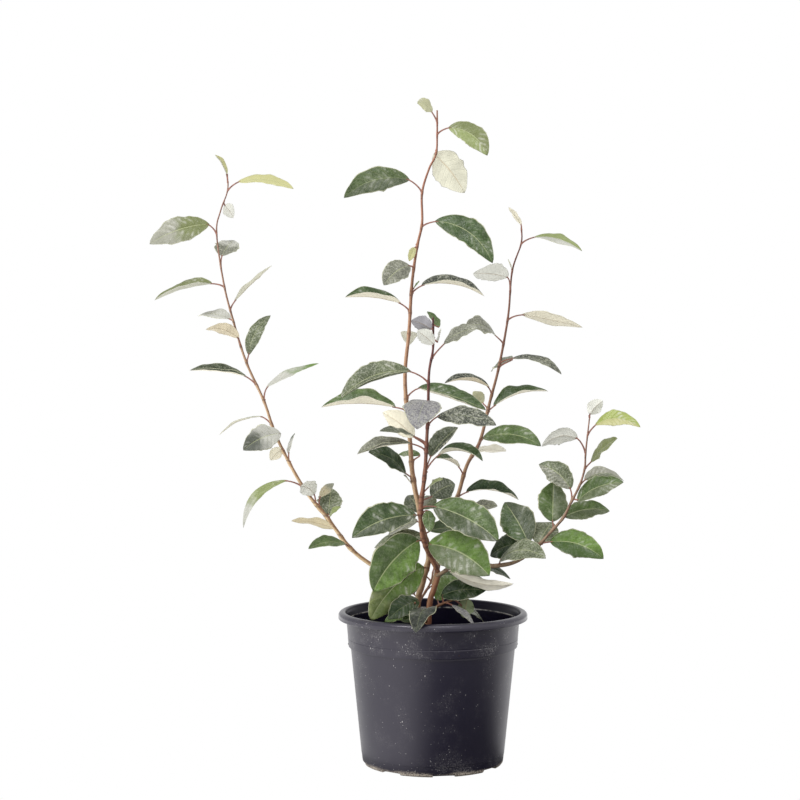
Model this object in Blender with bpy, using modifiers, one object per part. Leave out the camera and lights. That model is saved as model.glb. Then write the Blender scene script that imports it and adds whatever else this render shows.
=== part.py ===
"""A potted oleaster: a young evergreen shrub of five slender canes with silver-backed leaves, in a round
plastic nursery pot. Metres, +Z up, origin at the centre of the pot's flat underside, front towards -Y.

Two stems rise from the compost. One runs on as the front cane and the other as the tall cane, and the left,
right and far right canes spring from them. Each cane is one tapering limb up to its first leaves. Above
that it is a chain of leafy shoots, each one solid: its length of the cane with the leaves fused on.
"""

import math
import random

import bmesh
import bpy
from mathutils import Vector
from mathutils.bvhtree import BVHTree

# The pot, in metres
RIM_RADIUS = 0.0948
RIM_HEIGHT = 0.152
MOUTH_RADIUS = 0.0875
LIP_HEIGHT = 0.0075
COLLAR_TOP_RADIUS = 0.0868
COLLAR_FOOT_RADIUS = 0.0846
COLLAR_DEPTH = 0.035
STEP_IN = 0.0023
FOOT_RADIUS = 0.0716
FOOT_ROUNDING = 0.0024
FOOT_CORNER_HEIGHT = 0.010
STEP_HEIGHT = 0.002
LIP_ROUNDING = 0.001
LIP_WEB = 0.004
MOUTH_DEPTH = 0.009
WALL = 0.0018
POT_STEPS = 56
DRAIN_COUNT = 8
DRAIN_SIZE = (0.009, 0.022, 0.0026)
DRAIN_TURN = math.radians(8)

# The compost, and the gap that keeps two solids apart
COMPOST_HEIGHT = 0.125
MOUND_RADIUS = 0.026
MOUND_FOOT_RADIUS = 0.050
COMPOST_EDGE = 0.006
COMPOST_STEPS = 40
WALL_CLEARANCE = 0.0005
GAP = 0.0003

# The shrub's sizes are in millimetres, and MM brings them to metres. They are taken as seen from in front:
# across and up in the upright plane through the pot's axis, then away from the eye along the line of sight
MM = 0.001
EYE = Vector((-0.033, -1.8, 0.4164))
STEM_FOOT = 130
STEM_ROOT = STEM_FOOT - 8
STEMS = ("main_stem", "side_stem")
ROUTE_STEP = 9
TUBE_SIDES_RESOLUTION = 1
ROOT_FLARE = 0.4
FLARE_HEIGHT = 14
CANE_TAPER = 0.8

# A leaf: where along the blade its sections lie, the shape of its outline, and how thick it is. A stalk takes
# its share of the leaf's depth away from the eye, and the last leaf keeps a little below its cane's tip
BLADE_SECTIONS = (0.12, 0.34, 0.6, 0.82, 0.94)
BLADE_TAPER = 0.9
BLADE_FULLNESS = 0.75
LEAF_THICKNESS_SHARE = 0.018
LEAF_LEAST_THICKNESS = 0.9
STALK_THICKNESS = 1.5
STALK_DEPTH_SHARE = 0.15
BLADE_FOOT_SWELL = 1.2
BLADE_OVERLAP = 1.2
TIP_MARGIN = 1.5
NEARLY_UPRIGHT = 0.25
NEARLY_SIDE_ON = 0.8

# A leaf keeps this far from what is already there, apart from the first part of its stalk. One that can't is
# left out
CLEARANCE = 0.5
ROOT_SHARE = 0.7

# Each cane: its route (across, away, up), its radius at the foot and the tip, and the height at which
# each of its pieces starts. The first two start in the compost, and the others on a stem
CANES = {
    "front": {
        "route": [
            (-6, 0, STEM_ROOT), (-3, 0, 160), (1, -1, 174), (5, -3, 188), (2, -5, 198), (-6, -10, 214),
            (-11, -15, 232), (-12, -21, 258), (-8, -33, 292), (-5, -50, 350), (-4, -62, 390), (0, -68, 415),
            (0, -76, 446),
        ],
        "radius": (3.4, 0.9),
        "pieces": {"main_stem": STEM_ROOT, "front_low": 205, "front_mid": 296, "front_tip": 372},
    },
    "tall": {
        "route": [
            (-17, 6, STEM_ROOT), (-15, 6, 162), (-11, 7, 177), (-7, 8, 193), (-4, 9, 205), (-6, 10, 218),
            (-11, 12, 238), (-14, 12, 256), (-18, 13, 274), (-21, 14, 294), (-23, 15, 322), (-28, 18, 384),
            (-24, 20, 432), (-21, 22, 480), (-16, 24, 516), (-11, 25, 540), (-11, 26, 570), (-4, 27, 594),
            (3, 28, 609), (4, 28, 630), (4, 29, 652),
        ],
        "radius": (3.5, 0.8),
        "pieces": {
            "side_stem": STEM_ROOT, "tall_foot": 189, "tall_low": 272, "tall_mid": 390, "tall_tip": 505,
        },
    },
    "left": {
        "starts_on": "side_stem",
        "route": [
            (-13, 7, 172), (-35, 12, 184), (-60, 16, 197), (-83, 21, 215), (-105, 27, 244), (-130, 35, 276),
            (-156, 46, 325), (-169, 52, 362), (-187, 59, 402), (-200, 66, 444), (-209, 71, 480),
            (-216, 77, 530), (-212, 79, 552), (-205, 80, 572), (-205, 81, 589),
        ],
        "radius": (2.3, 0.6),
        "pieces": {"left_bough": 172, "left_low": 203, "left_mid": 290, "left_upper": 392, "left_tip": 465},
    },
    "right": {
        "starts_on": "main_stem",
        "route": [
            (1, 1, 178), (4, 6, 192), (7, 12, 208), (12, 24, 240), (24, 34, 265), (34, 45, 298),
            (47, 57, 322), (57, 72, 362), (66, 84, 397), (75, 98, 447), (79, 108, 492), (88, 113, 520),
            (88, 116, 537),
        ],
        "radius": (2.7, 0.7),
        "pieces": {"right_bough": 178, "right_low": 252, "right_mid": 336, "right_tip": 432},
    },
    "far": {
        "starts_on": "main_stem",
        "route": [
            (4, -4, 187), (10, -8, 190.5), (16, -11, 194), (27, -15, 195.2), (42, -19, 196), (67, -28, 197.5),
            (85, -34, 202), (103, -39, 215), (119, -45, 232), (131, -50, 246), (139, -54, 262),
            (147, -59, 278), (152, -63, 295), (153, -68, 312), (157, -75, 349),
        ],
        "radius": (1.9, 0.6),
        "pieces": {"far_bough": 187, "far_foot": 192.5, "far_low": 212, "far_tip": 256},
    },
    "foot_left": {
        "starts_on": "side_stem",
        "route": [(-16, 5, 146), (-17, -8, 151), (-18, -20, 156), (-18, -28, 160)],
        "radius": (1.5, 0.8),
        "pieces": {"foot_left": 146},
    },
    "foot_right": {
        "starts_on": "main_stem",
        "route": [(-5, 0, 149), (4, -3, 156), (18, -8, 162), (33, -14, 166)],
        "radius": (1.6, 0.8),
        "pieces": {"foot_right": 149},
    },
    "foot_front": {
        "starts_on": "main_stem",
        "route": [(-6, 0, 139), (-7, -10, 145), (-7, -26, 150), (-5, -40, 153)],
        "radius": (1.5, 0.8),
        "pieces": {"foot_front": 139},
    },
    "foot_back": {
        "starts_on": "side_stem",
        "route": [(-15, 6, 152), (-14, 18, 160), (-8, 36, 170), (-2, 54, 181), (0, 70, 191)],
        "radius": (1.6, 0.8),
        "pieces": {"foot_back": 152},
    },
}

# The leaves up each cane: the height where the stalk leaves it, the stalk (across, up), the blade from its
# foot to its tip (across, away, up), its width, how far it arches as a share of its length, how far its
# upper face is turned to the front (a minus sign shows the underside), and how far its halves fold up
LEAVES = {
    "left": [
        (215, (-4, 4), (-38, -24, -5), 18, 0.10, 35, 12),
        (226, (-5, 8), (-45, 20, 8), 20, 0.06, -35, 10),
        (244, (1, 2), (12, -6, 10), 9, 0.10, 50, 15),
        (245, (1, 3), (3, 22, 27), 26, 0.05, 10, 10),
        (254, (0, 12), (14, 12, 14), 10, 0.05, 40, 12),
        (258, (-2, 10), (-14, -24, 9), 18, 0.10, -60, 10),
        (276, (-15, 7), (-45, -16, -48), 10, 0.20, 50, 12),
        (300, (-1, 10), (6, 26, 20), 14, 0.05, -50, 15),
        (312, (-1, 3), (-12, 0, -12), 14, 0.05, -60, 12),
        (325, (4, 5), (-38, -34, -17), 26, 0.08, 60, 12),
        (338, (-9, 9), (-44, 26, -19), 10, 0.10, 0, 15),
        (362, (2, 14), (53, 24, 24), 15, 0.04, 18, 16),
        (378, (-10, 9), (-57, -15, 6), 20, 0.06, 32, 14),
        (400, (2, 8), (22, 22, 40), 15, 0.13, 40, 12),
        (417, (-2, 8), (-33, -24, 9), 18, 0.12, -35, 12),
        (442, (-3, 2), (-33, 34, 3), 20, 0.08, 20, 15),
        (453, (4, 9), (38, -20, 36), 18, 0.02, 5, 18),
        (476, (-12, 4), (-58, 12, -17), 26, 0.06, 40, 14),
        (497, (1, 10), (12, 30, 16), 26, 0.05, 10, 12),
        (529, (-7, 10), (-60, -22, -20), 29, 0.07, 62, 10),
        (560, (1, -2), (9, 14, -13), 14, 0.05, -60, 12),
        (572, (10, 9), (56, -12, -7), 17, 0.10, 50, 10),
        (580, (-1, 8), (-12, -8, 20), 9, 0.08, 60, 22),
    ],
    "tall": [
        (194, (-2, 2), (-54, -40, -54), 42, 0.10, 68, 10),
        (222, (0, 1), (-52, 22, -8), 24, 0.10, 40, 12),
        (238, (-4, 4), (-30, 18, -14), 20, 0.05, 45, 12),
        (251, (0, -1), (-12, 24, 18), 22, 0.08, 20, 10),
        (282, (-2, -2), (-8, -12, 8), 10, 0.05, 40, 10),
        (284, (-7, 5), (-38, -26, 22), 26, 0.12, 50, 12),
        (301, (9, 7), (-22, 20, 1), 10, 0.05, 45, 12),
        (352, (-11, 4), (-75, 14, 0), 35, 0.06, 12, 42),
        (364, (12, 12), (68, -18, -23), 30, 0.04, 42, 14),
        (430, (0, 2), (0, 34, -14), 18, 0.10, 0, 14),
        (451, (-9, 9), (-56, -16, 6), 28, 0.06, 10, 40),
        (469, (10, 9), (63, 14, -11), 27, 0.11, 22, 36),
        (473, (2, 2), (6, -8, 7), 7, 0.05, 50, 10),
        (495, (-4, 3), (-26, -34, -20), 24, 0.08, 50, 12),
        (517, (-2, -1), (-6, -8, -14), 8, 0.05, 50, 10),
        (536, (13, 6), (58, -22, -42), 28, 0.15, 65, 8),
        (570, (-12, 13), (-66, -18, -18), 26, 0.13, 65, 8),
        (611, (-3, -2), (31, 14, -39), 36, 0.05, -82, 8),
        (628, (11, 7), (39, -14, -28), 24, 0.16, 70, 8),
        (640, (-5, 10), (-15, -10, 9), 16, 0.16, 70, 12),
    ],
    "front": [
        (217, (2, 2), (62, -40, -32), 44, 0.10, 60, 8),
        (222, (-5, 1), (-46, -34, -52), 46, 0.09, 68, 12),
        (226, (6, 6), (50, 20, -8), 26, 0.12, 40, 12),
        (247, (-4, 1), (-65, -34, -23), 34, 0.09, 60, 12),
        (249, (7, 4), (2, -12, -22), 13, 0.05, 10, 10),
        (250, (2, 4), (13, 12, 12), 16, 0.05, 40, 12),
        (255, (12, 2), (66, -34, -35), 38, 0.07, 62, 12),
        (262, (10, 4), (24, 20, 13), 24, 0.08, 60, 12),
        (268, (6, 8), (15, -16, 8), 11, 0.05, 35, 12),
        (284, (6, 22), (28, 14, 30), 24, 0.06, 45, 14),
        (290, (13, 18), (45, -20, -6), 24, 0.17, 20, 36),
        (312, (-15, 8), (-54, -26, -11), 21, 0.08, 30, 12),
        (317, (-12, 9), (-32, 12, 25), 24, 0.05, -70, 10),
        (319, (-12, 8), (-35, -24, 5), 20, 0.06, 18, 16),
        (337, (9, 10), (60, -20, -9), 24, 0.08, 42, 8),
        (358, (-1, 5), (-10, -34, -29), 36, 0.15, 5, 10),
        (380, (-17, 12), (-71, -30, -27), 27, 0.12, 52, 10),
        (404, (12, 15), (35, -16, 16), 20, 0.10, 40, 12),
        (420, (1, -1), (-17, -14, 14), 16, 0.02, -60, 20),
        (424, (4, -3), (4, 8, 14), 12, 0.02, -50, 20),
        (434, (-2, 0), (-20, -14, 9), 16, 0.06, -50, 12),
        (438, (6, -2), (-12, 8, 16), 13, 0.05, 10, 15),
    ],
    "right": [
        (262, (15, -8), (27, -8, 3), 18, 0.08, 45, 10),
        (265, (9, 6), (53, 20, -8), 26, 0.11, 26, 38),
        (287, (-4, 9), (-23, -22, 9), 16, 0.10, 24, 34),
        (308, (-4, 4), (38, 24, 0), 22, 0.04, -28, 12),
        (314, (6, 11), (59, -20, -8), 30, 0.13, 42, 12),
        (351, (6, 6), (55, 18, 15), 26, 0.10, 20, 36),
        (354, (-5, 6), (-10, 20, 12), 12, 0.05, 40, 12),
        (368, (-2, 8), (-45, -18, 4), 22, 0.12, 24, 36),
        (396, (14, 8), (-22, 24, -12), 22, 0.08, 40, 10),
        (400, (12, 5), (50, -20, -16), 20, 0.14, 28, 12),
        (419, (-7, 8), (-30, -28, 10), 28, 0.14, 35, 12),
        (443, (14, 6), (61, -16, -13), 18, 0.02, -40, 10),
        (472, (-2, 14), (-35, -26, 4), 29, 0.04, -38, 14),
        (491, (0, 3), (-4, -4, 10), 7, 0.05, 50, 12),
        (519, (12, 7), (49, -18, -14), 17, 0.10, 30, 12),
        (533, (0, 5), (-13, -6, 18), 8, 0.02, -30, 15),
    ],
    "far": [
        (194, (-1, -1), (66, -34, -14), 16, -0.09, -58, 10),
        (195.6, (-2, 2), (46, 12, -14), 22, 0.10, 30, 12),
        (197.3, (1, 4), (47, -34, 3), 26, 0.18, 50, 10),
        (211, (-12, 8), (-29, 24, -12), 26, 0.08, 60, 10),
        (214, (-6, 6), (-24, 26, 41), 34, 0.04, 40, 12),
        (216, (1, 3), (15, 22, 22), 28, 0.04, 15, 10),
        (219, (10, 2), (54, -18, -17), 28, 0.12, 62, 10),
        (234, (-1, 7), (1, 16, 41), 31, 0.03, 5, 12),
        (245, (1, 1), (46, 14, 6), 22, 0.10, 60, 10),
        (262, (-1, 12), (-32, 16, 25), 24, 0.12, 55, 10),
        (264, (4, -2), (47, -16, 19), 22, 0.10, 55, 10),
        (277, (5, 6), (40, 24, -1), 18, 0.16, 40, 12),
        (294, (6, 7), (27, -22, 24), 21, 0.06, 50, 12),
        (310, (-8, 15), (-36, -16, -8), 20, 0.15, -60, 10),
        (328, (7, 10), (46, -14, -2), 17, 0.18, 45, 12),
        (346, (0, 3), (13, -4, 14), 16, 0.05, -60, 15),
    ],
    "foot_left": [
        (149, (-6, -2), (-26, 8, -6), 13, 0.08, 60, 10),
        (154, (4, 8), (-31, -26, -19), 22, 0.08, 55, 10),
    ],
    "foot_right": [
        (157, (-2, 5), (20, 36, 24), 24, 0.06, 30, 12),
        (160, (6, -2), (23, -24, -21), 8, 0.06, 10, 14),
        (159, (-2, 8), (45, -12, 5), 26, 0.08, 60, 10),
        (163, (13, -12), (17, 36, -11), 12, 0.08, 45, 12),
        (165, (8, 0), (-4, -1, -20), 18, 0.05, 20, 10),
    ],
    "foot_front": [
        (147, (-6, -2), (-18, -8, -4), 14, 0.06, 40, 12),
        (152, (2, 0), (-13, -64, -22), 26, 0.16, 0, 12),
    ],
}

# Leaves on the side away from the eye, on the one shoot that leans back: the golden angle winds them round it
BACK_SHOOT = "foot_back"
BACK_LEAVES = 4
BACK_LOWEST = 0.25
BACK_SPREAD = math.radians(80)
GOLDEN_ANGLE = math.radians(137.5)
BACK_STALK = 6
BACK_LENGTH = (46, 62)
BACK_RISE = (-16, 20)
BACK_WIDTH_SHARE = 0.42
BACK_ARCH = (0.08, 0.18)
BACK_TURN = (10, 40)
BACK_FOLD = 12
BACK_SEED = 11

BLACK_PLASTIC = ((0.012, 0.011, 0.014), 0.42)
DARK_COMPOST = ((0.035, 0.022, 0.014), 0.95)
BARK = ((0.27, 0.12, 0.06), 0.6)
GREEN = ((0.10, 0.19, 0.05), 0.5)


def clear_scene():
    for ob in list(bpy.data.objects):
        bpy.data.objects.remove(ob)


def named_collection(name):
    collection = bpy.data.collections.new(name)
    bpy.context.scene.collection.children.link(collection)
    return collection


def material(name, look):
    colour, roughness = look
    made = bpy.data.materials.new(name)
    made.use_nodes = True
    shader = made.node_tree.nodes["Principled BSDF"]
    shader.inputs["Base Color"].default_value = (*colour, 1)
    shader.inputs["Roughness"].default_value = roughness
    shader.inputs["Metallic"].default_value = 0
    return made


def remove_all(collection):
    for ob in list(collection.objects):
        bpy.data.objects.remove(ob)
    bpy.data.collections.remove(collection)


def mesh_object(name, mesh, collection, look):
    ob = bpy.data.objects.new(name, mesh)
    collection.objects.link(ob)
    if look:
        mesh.materials.clear()
        mesh.materials.append(look)
    return ob


def screwed(name, profile, steps, collection, look):
    """The solid that a (radius, height) profile sweeps about Z, from axis to axis and down its outside."""
    mesh = bpy.data.meshes.new(name)
    corners = [(radius, 0, height) for radius, height in profile]
    mesh.from_pydata(corners, [(k, k + 1) for k in range(len(corners) - 1)], [])
    ob = mesh_object(name, mesh, collection, look)
    turn = ob.modifiers.new("turn", "SCREW")
    turn.steps = steps
    turn.render_steps = steps
    turn.use_merge_vertices = True
    turn.merge_threshold = 0.00001
    return ob


def applied(ob):
    """The object's evaluated mesh in place of its modifiers."""
    mesh = bpy.data.meshes.new_from_object(ob.evaluated_get(bpy.context.evaluated_depsgraph_get()))
    ob.modifiers.clear()
    ob.data = mesh
    return ob


def boolean(ob, operation, other=None, collection=None):
    cut = ob.modifiers.new(operation.lower(), "BOOLEAN")
    cut.operation = operation
    cut.solver = "EXACT"
    if collection:
        cut.operand_type = "COLLECTION"
        cut.collection = collection
    else:
        cut.object = other
    return applied(ob)


def pot_profile():
    """Up the inside from the floor's centre, over the rolled lip, and down the outside to the centre."""
    collar_foot = RIM_HEIGHT - COLLAR_DEPTH
    wall_top = COLLAR_FOOT_RADIUS - STEP_IN
    lip_foot = RIM_HEIGHT - LIP_HEIGHT
    inside = [
        (0.0, WALL),
        (FOOT_RADIUS - FOOT_ROUNDING - WALL, WALL),
        (FOOT_RADIUS - WALL, FOOT_CORNER_HEIGHT),
        (wall_top - WALL, collar_foot - STEP_HEIGHT),
        (COLLAR_FOOT_RADIUS - WALL, collar_foot + STEP_HEIGHT / 2),
        (COLLAR_TOP_RADIUS - WALL, RIM_HEIGHT - MOUTH_DEPTH),
        (MOUTH_RADIUS, RIM_HEIGHT - LIP_ROUNDING / 2),
    ]
    lip = [
        (MOUTH_RADIUS + LIP_ROUNDING, RIM_HEIGHT),
        (RIM_RADIUS - 2 * LIP_ROUNDING, RIM_HEIGHT),
        (RIM_RADIUS, RIM_HEIGHT - 2 * LIP_ROUNDING),
        (RIM_RADIUS, lip_foot + LIP_ROUNDING),
        (RIM_RADIUS - LIP_ROUNDING, lip_foot),
        (RIM_RADIUS - 2.5 * LIP_ROUNDING, lip_foot),
        (RIM_RADIUS - LIP_WEB, RIM_HEIGHT - LIP_WEB),
        (COLLAR_TOP_RADIUS, lip_foot + LIP_ROUNDING / 2),
    ]
    outside = [
        (COLLAR_FOOT_RADIUS, collar_foot),
        (wall_top, collar_foot - STEP_HEIGHT),
        (FOOT_RADIUS, FOOT_CORNER_HEIGHT),
        (FOOT_RADIUS - FOOT_ROUNDING / 3, 0.4 * FOOT_CORNER_HEIGHT),
        (FOOT_RADIUS - FOOT_ROUNDING, 0.0),
        (0.0, 0.0),
    ]
    return inside + lip + outside


def drain_cutter(k, cutters):
    """A block across the foot of the wall, where the pot's k-th drain notch is cut."""
    deep, wide, high = DRAIN_SIZE
    angle = DRAIN_TURN - math.pi / 2 + k * math.tau / DRAIN_COUNT
    reach = FOOT_RADIUS - FOOT_ROUNDING - LIP_ROUNDING
    centre = (reach * math.cos(angle), reach * math.sin(angle), 0)
    bpy.ops.mesh.primitive_cube_add(size=1, location=centre)
    block = bpy.context.object
    block.name = f"drain_{k}"
    block.rotation_euler.z = angle
    block.scale = (deep, wide, 2 * high)
    for old in list(block.users_collection):
        old.objects.unlink(block)
    cutters.objects.link(block)


def make_pot(collection, look):
    """The turned pot: rolled lip, collar with its step, tapering wall, rounded foot and drained floor."""
    pot = applied(screwed("pot", pot_profile(), POT_STEPS, collection, look))
    cutters = named_collection("drain_cutters")
    for k in range(DRAIN_COUNT):
        drain_cutter(k, cutters)
    boolean(pot, "DIFFERENCE", collection=cutters)
    remove_all(cutters)


def make_compost(collection, look):
    """The compost fills the pot from just above its floor to a low mound round the stems."""
    collar_foot = RIM_HEIGHT - COLLAR_DEPTH
    inset = WALL + WALL_CLEARANCE
    top_radius = COLLAR_FOOT_RADIUS - inset
    mound = STEM_FOOT * MM - GAP
    profile = [
        (0.0, mound),
        (MOUND_RADIUS, mound),
        (MOUND_FOOT_RADIUS, (mound + COMPOST_HEIGHT) / 2),
        (top_radius - COMPOST_EDGE, COMPOST_HEIGHT),
        (top_radius, COMPOST_HEIGHT - COMPOST_EDGE / 3),
        (top_radius, collar_foot + STEP_HEIGHT / 2),
        (top_radius - STEP_IN, collar_foot - STEP_HEIGHT),
        (FOOT_RADIUS - inset, FOOT_CORNER_HEIGHT),
        (FOOT_RADIUS - FOOT_ROUNDING - inset, WALL + GAP),
        (0.0, WALL + GAP),
    ]
    applied(screwed("compost", profile, COMPOST_STEPS, collection, look))


def catmull(a, b, c, d, t):
    return 0.5 * (2 * b + (c - a) * t + (2 * a - 5 * b + 4 * c - d) * t**2 + (3 * b - a - 3 * c + d) * t**3)


def smooth_route(points):
    """Points about ROUTE_STEP apart on a smooth curve through the route's own points."""
    knots = [Vector(p) for p in points]
    knots = [2 * knots[0] - knots[1], *knots, 2 * knots[-1] - knots[-2]]
    route = []
    for a, b, c, d in zip(knots, knots[1:], knots[2:], knots[3:]):
        count = max(1, round((c - b).length / ROUTE_STEP))
        route += [catmull(a, b, c, d, k / count) for k in range(count)]
    return [*route, knots[-2]]


def point_at(route, up):
    """Where the route is at that height. Every route rises all the way."""
    for low, high in zip(route, route[1:]):
        if low.z <= up <= high.z:
            return low.lerp(high, (up - low.z) / (high.z - low.z))
    return route[-1] if up > route[-1].z else route[0]


def stretch(route, start, end):
    """The part of the route between two heights."""
    inner = [p for p in route if start < p.z - 1 and p.z + 1 < end]
    return [point_at(route, start), *inner, point_at(route, end)]


def placed(seen):
    """The world point that lies that far away, behind the point seen at (across, up) in the pot's plane."""
    in_plane = Vector((seen.x, 0, seen.z)) * MM
    return EYE + (in_plane - EYE) * (1 - seen.y * MM / EYE.y)


def cane_radius(cane, up):
    """A cane's radius at a height, in millimetres: an even taper, and a flare where a stem meets compost."""
    low, high = cane["route"][0][2], cane["route"][-1][2]
    foot, tip = cane["radius"]
    radius = foot + (tip - foot) * ((up - low) / (high - low)) ** CANE_TAPER
    if "starts_on" not in cane:
        radius *= 1 + ROOT_FLARE * math.exp(-(up - low) / FLARE_HEIGHT)
    return radius


def tube(name, cane, points, swell, collection, look):
    """A closed round limb along the points, with the cane's own radius made larger by swell."""
    curve = bpy.data.curves.new(name, "CURVE")
    curve.dimensions = "3D"
    curve.bevel_depth = MM
    curve.bevel_resolution = TUBE_SIDES_RESOLUTION
    curve.use_fill_caps = True
    line = curve.splines.new("POLY")
    line.points.add(len(points) - 1)
    for point, seen in zip(line.points, points):
        point.co = (*placed(seen), 1)
        point.radius = cane_radius(cane, seen.z) + swell
    guide = bpy.data.objects.new(name + "_guide", curve)
    collection.objects.link(guide)
    bpy.context.view_layer.update()
    mesh = bpy.data.meshes.new_from_object(guide.evaluated_get(bpy.context.evaluated_depsgraph_get()))
    bpy.data.objects.remove(guide)
    cage = bmesh.new()
    cage.from_mesh(mesh)
    bmesh.ops.remove_doubles(cage, verts=cage.verts, dist=0.00001)
    bmesh.ops.recalc_face_normals(cage, faces=cage.faces)
    cage.to_mesh(mesh)
    cage.free()
    return mesh_object(name, mesh, collection, look)


def blade_frame(run, turn):
    """The blade's up, upper face and side: the turn brings that face round to the front."""
    ahead = run.normalized()
    up = Vector((0, 0, 1)) - ahead * ahead.z
    if up.length < NEARLY_UPRIGHT:
        up = Vector((0, 1, 0)) - ahead * ahead.y
    up.normalize()
    front = ahead.cross(up)
    if front.y > 0:
        front.negate()
    angle = math.radians(turn)
    face = up * math.cos(angle) + front * math.sin(angle)
    side = front * math.cos(angle) - up * math.sin(angle)
    return up, face, side


def half_width(share):
    """The blade's half width along its length, as a share of the widest: a pointed ellipse."""
    return math.sin(math.pi * share**BLADE_TAPER) ** BLADE_FULLNESS


def ring_round(centre, along, side, face, half, lift, deep):
    """Four corners round a point of the leaf, square to its line, its edges raised by lift."""
    out = (side - along * side.dot(along)).normalized()
    top = out.cross(along)
    if top.dot(face) < 0:
        top.negate()
    wing = top * lift
    return [centre + out * half + wing, centre + top * deep, centre - out * half + wing, centre - top * deep]


def stalk_rings(root, foot, tip, leaf, swell):
    """The stalk's two ends: one deep inside its stem, the other inside the blade's foot."""
    along = (foot - root).normalized()
    _, face, side = blade_frame(tip - foot, leaf[5])
    if abs(side.dot(along)) > NEARLY_SIDE_ON:
        side, face = face, side
    half = (STALK_THICKNESS * MM + swell) / 2
    return [ring_round(centre, along, side, face, half, 0, half) for centre in (root, foot)]


def blade_rings(foot, tip, leaf, swell):
    """The blade's sections, from just behind its foot. Its point comes last, as a ring of one corner."""
    _, _, _, width, arch, turn, fold = leaf
    run = tip - foot
    length = run.length
    fold = math.radians(fold)
    up, face, side = blade_frame(run, turn)
    thick = (max(LEAF_THICKNESS_SHARE * length, LEAF_LEAST_THICKNESS * MM) + swell) / 2
    stub = (STALK_THICKNESS * MM * BLADE_FOOT_SWELL + swell) / 2
    line = [foot - run.normalized() * BLADE_OVERLAP * MM]
    sizes = [(stub, 0, stub)]
    for share in BLADE_SECTIONS:
        line.append(foot + run * share + up * (arch * length * 4 * share * (1 - share)))
        half = width * MM / 2 * half_width(share)
        sizes.append((half * math.cos(fold), half * math.sin(fold), thick))
    line.append(tip)
    rings = []
    for k, (half, lift, deep) in enumerate(sizes):
        along = (line[k + 1] - line[max(k - 1, 0)]).normalized()
        rings.append(ring_round(line[k], along, side, face, half, lift, deep))
    return [*rings, [tip]]


def loft(rings):
    """Corners and faces of a closed solid over four-sided rings, whose last ring may be a single point."""
    corners = [corner for ring in rings for corner in ring]
    faces = [(3, 2, 1, 0)]
    for ring in range(len(rings) - 1):
        for k in range(4):
            a, b = ring * 4 + k, ring * 4 + (k + 1) % 4
            if len(rings[ring + 1]) == 1:
                faces.append((a, b, len(corners) - 1))
            else:
                faces.append((a, b, b + 4, a + 4))
    if len(rings[-1]) == 4:
        last = len(corners) - 4
        faces.append((last, last + 1, last + 2, last + 3))
    return corners, faces


def loft_object(name, rings, collection):
    mesh = bpy.data.meshes.new(name)
    corners, faces = loft(rings)
    mesh.from_pydata(corners, [], faces)
    cage = bmesh.new()
    cage.from_mesh(mesh)
    bmesh.ops.recalc_face_normals(cage, faces=cage.faces)
    cage.to_mesh(mesh)
    cage.free()
    return mesh_object(name, mesh, collection, None)


def leaf_tree(root, foot, tip, leaf):
    """A search tree over a leaf with its clearance, for telling what it would touch. Its root is left out."""
    swell = CLEARANCE * MM
    start = root.lerp(foot, ROOT_SHARE)
    corners, faces = loft(stalk_rings(start, foot, tip, leaf, swell))
    more, others = loft(blade_rings(foot, tip, leaf, swell))
    faces += [tuple(k + len(corners) for k in face) for face in others]
    return BVHTree.FromPolygons(corners + more, faces)


def object_tree(ob):
    mesh = ob.data
    return BVHTree.FromPolygons([v.co for v in mesh.vertices], [p.vertices[:] for p in mesh.polygons])


def leaf_at(route, leaf):
    """The leaf's root, blade foot and tip in the world."""
    up, stalk, blade = leaf[:3]
    root = point_at(route, min(up, route[-1].z - TIP_MARGIN))
    foot = root + Vector((stalk[0], STALK_DEPTH_SHARE * blade[1], stalk[1]))
    return placed(root), placed(foot), placed(foot + Vector(blade))


def back_leaves():
    """Leaves for the side away from the eye, wound round their shoot by the golden angle."""
    draw = random.Random(BACK_SEED)
    low = CANES[BACK_SHOOT]["route"][0][2]
    high = CANES[BACK_SHOOT]["route"][-1][2]
    leaves = []
    for k in range(BACK_LEAVES):
        share = BACK_LOWEST + (1 - BACK_LOWEST) * k / (BACK_LEAVES - 1)
        length = draw.uniform(*BACK_LENGTH)
        bearing = math.pi / 2 + BACK_SPREAD * math.sin((k + 1) * GOLDEN_ANGLE)
        blade = (length * math.cos(bearing), length * math.sin(bearing), draw.uniform(*BACK_RISE))
        stalk = (BACK_STALK * math.cos(bearing), BACK_STALK)
        arch = draw.uniform(*BACK_ARCH)
        turn = draw.uniform(*BACK_TURN)
        width = length * BACK_WIDTH_SHARE
        leaves.append((low + (high - low) * share, stalk, blade, width, arch, turn, BACK_FOLD))
    return leaves


def leaves_between(cane_name, start, end):
    leaves = back_leaves() if cane_name == BACK_SHOOT else LEAVES[cane_name]
    return [leaf for leaf in leaves if start <= leaf[0] < end]


def grow_leaves(name, route, leaves, taken, loose):
    """Puts a shoot's leaves into the loose collection and returns their search trees. A leaf that would touch
    what is there is left out."""
    own = []
    for k, leaf in enumerate(leaves):
        root, foot, tip = leaf_at(route, leaf)
        test = leaf_tree(root, foot, tip, leaf)
        if any(test.overlap(tree) for tree in taken + own):
            continue
        own.append(test)
        loft_object(f"{name}_stalk_{k}", stalk_rings(root, foot, tip, leaf, 0), loose)
        loft_object(f"{name}_blade_{k}", blade_rings(foot, tip, leaf, 0), loose)
    return own


def list_pieces():
    """Each limb and shoot in turn: its name, its cane's name, and the heights where it starts and ends."""
    pieces = []
    for cane_name, cane in CANES.items():
        starts = list(cane["pieces"].values())
        for name, start, end in zip(cane["pieces"], starts, [*starts[1:], math.inf]):
            pieces.append((name, cane_name, start, end))
    return pieces


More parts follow.
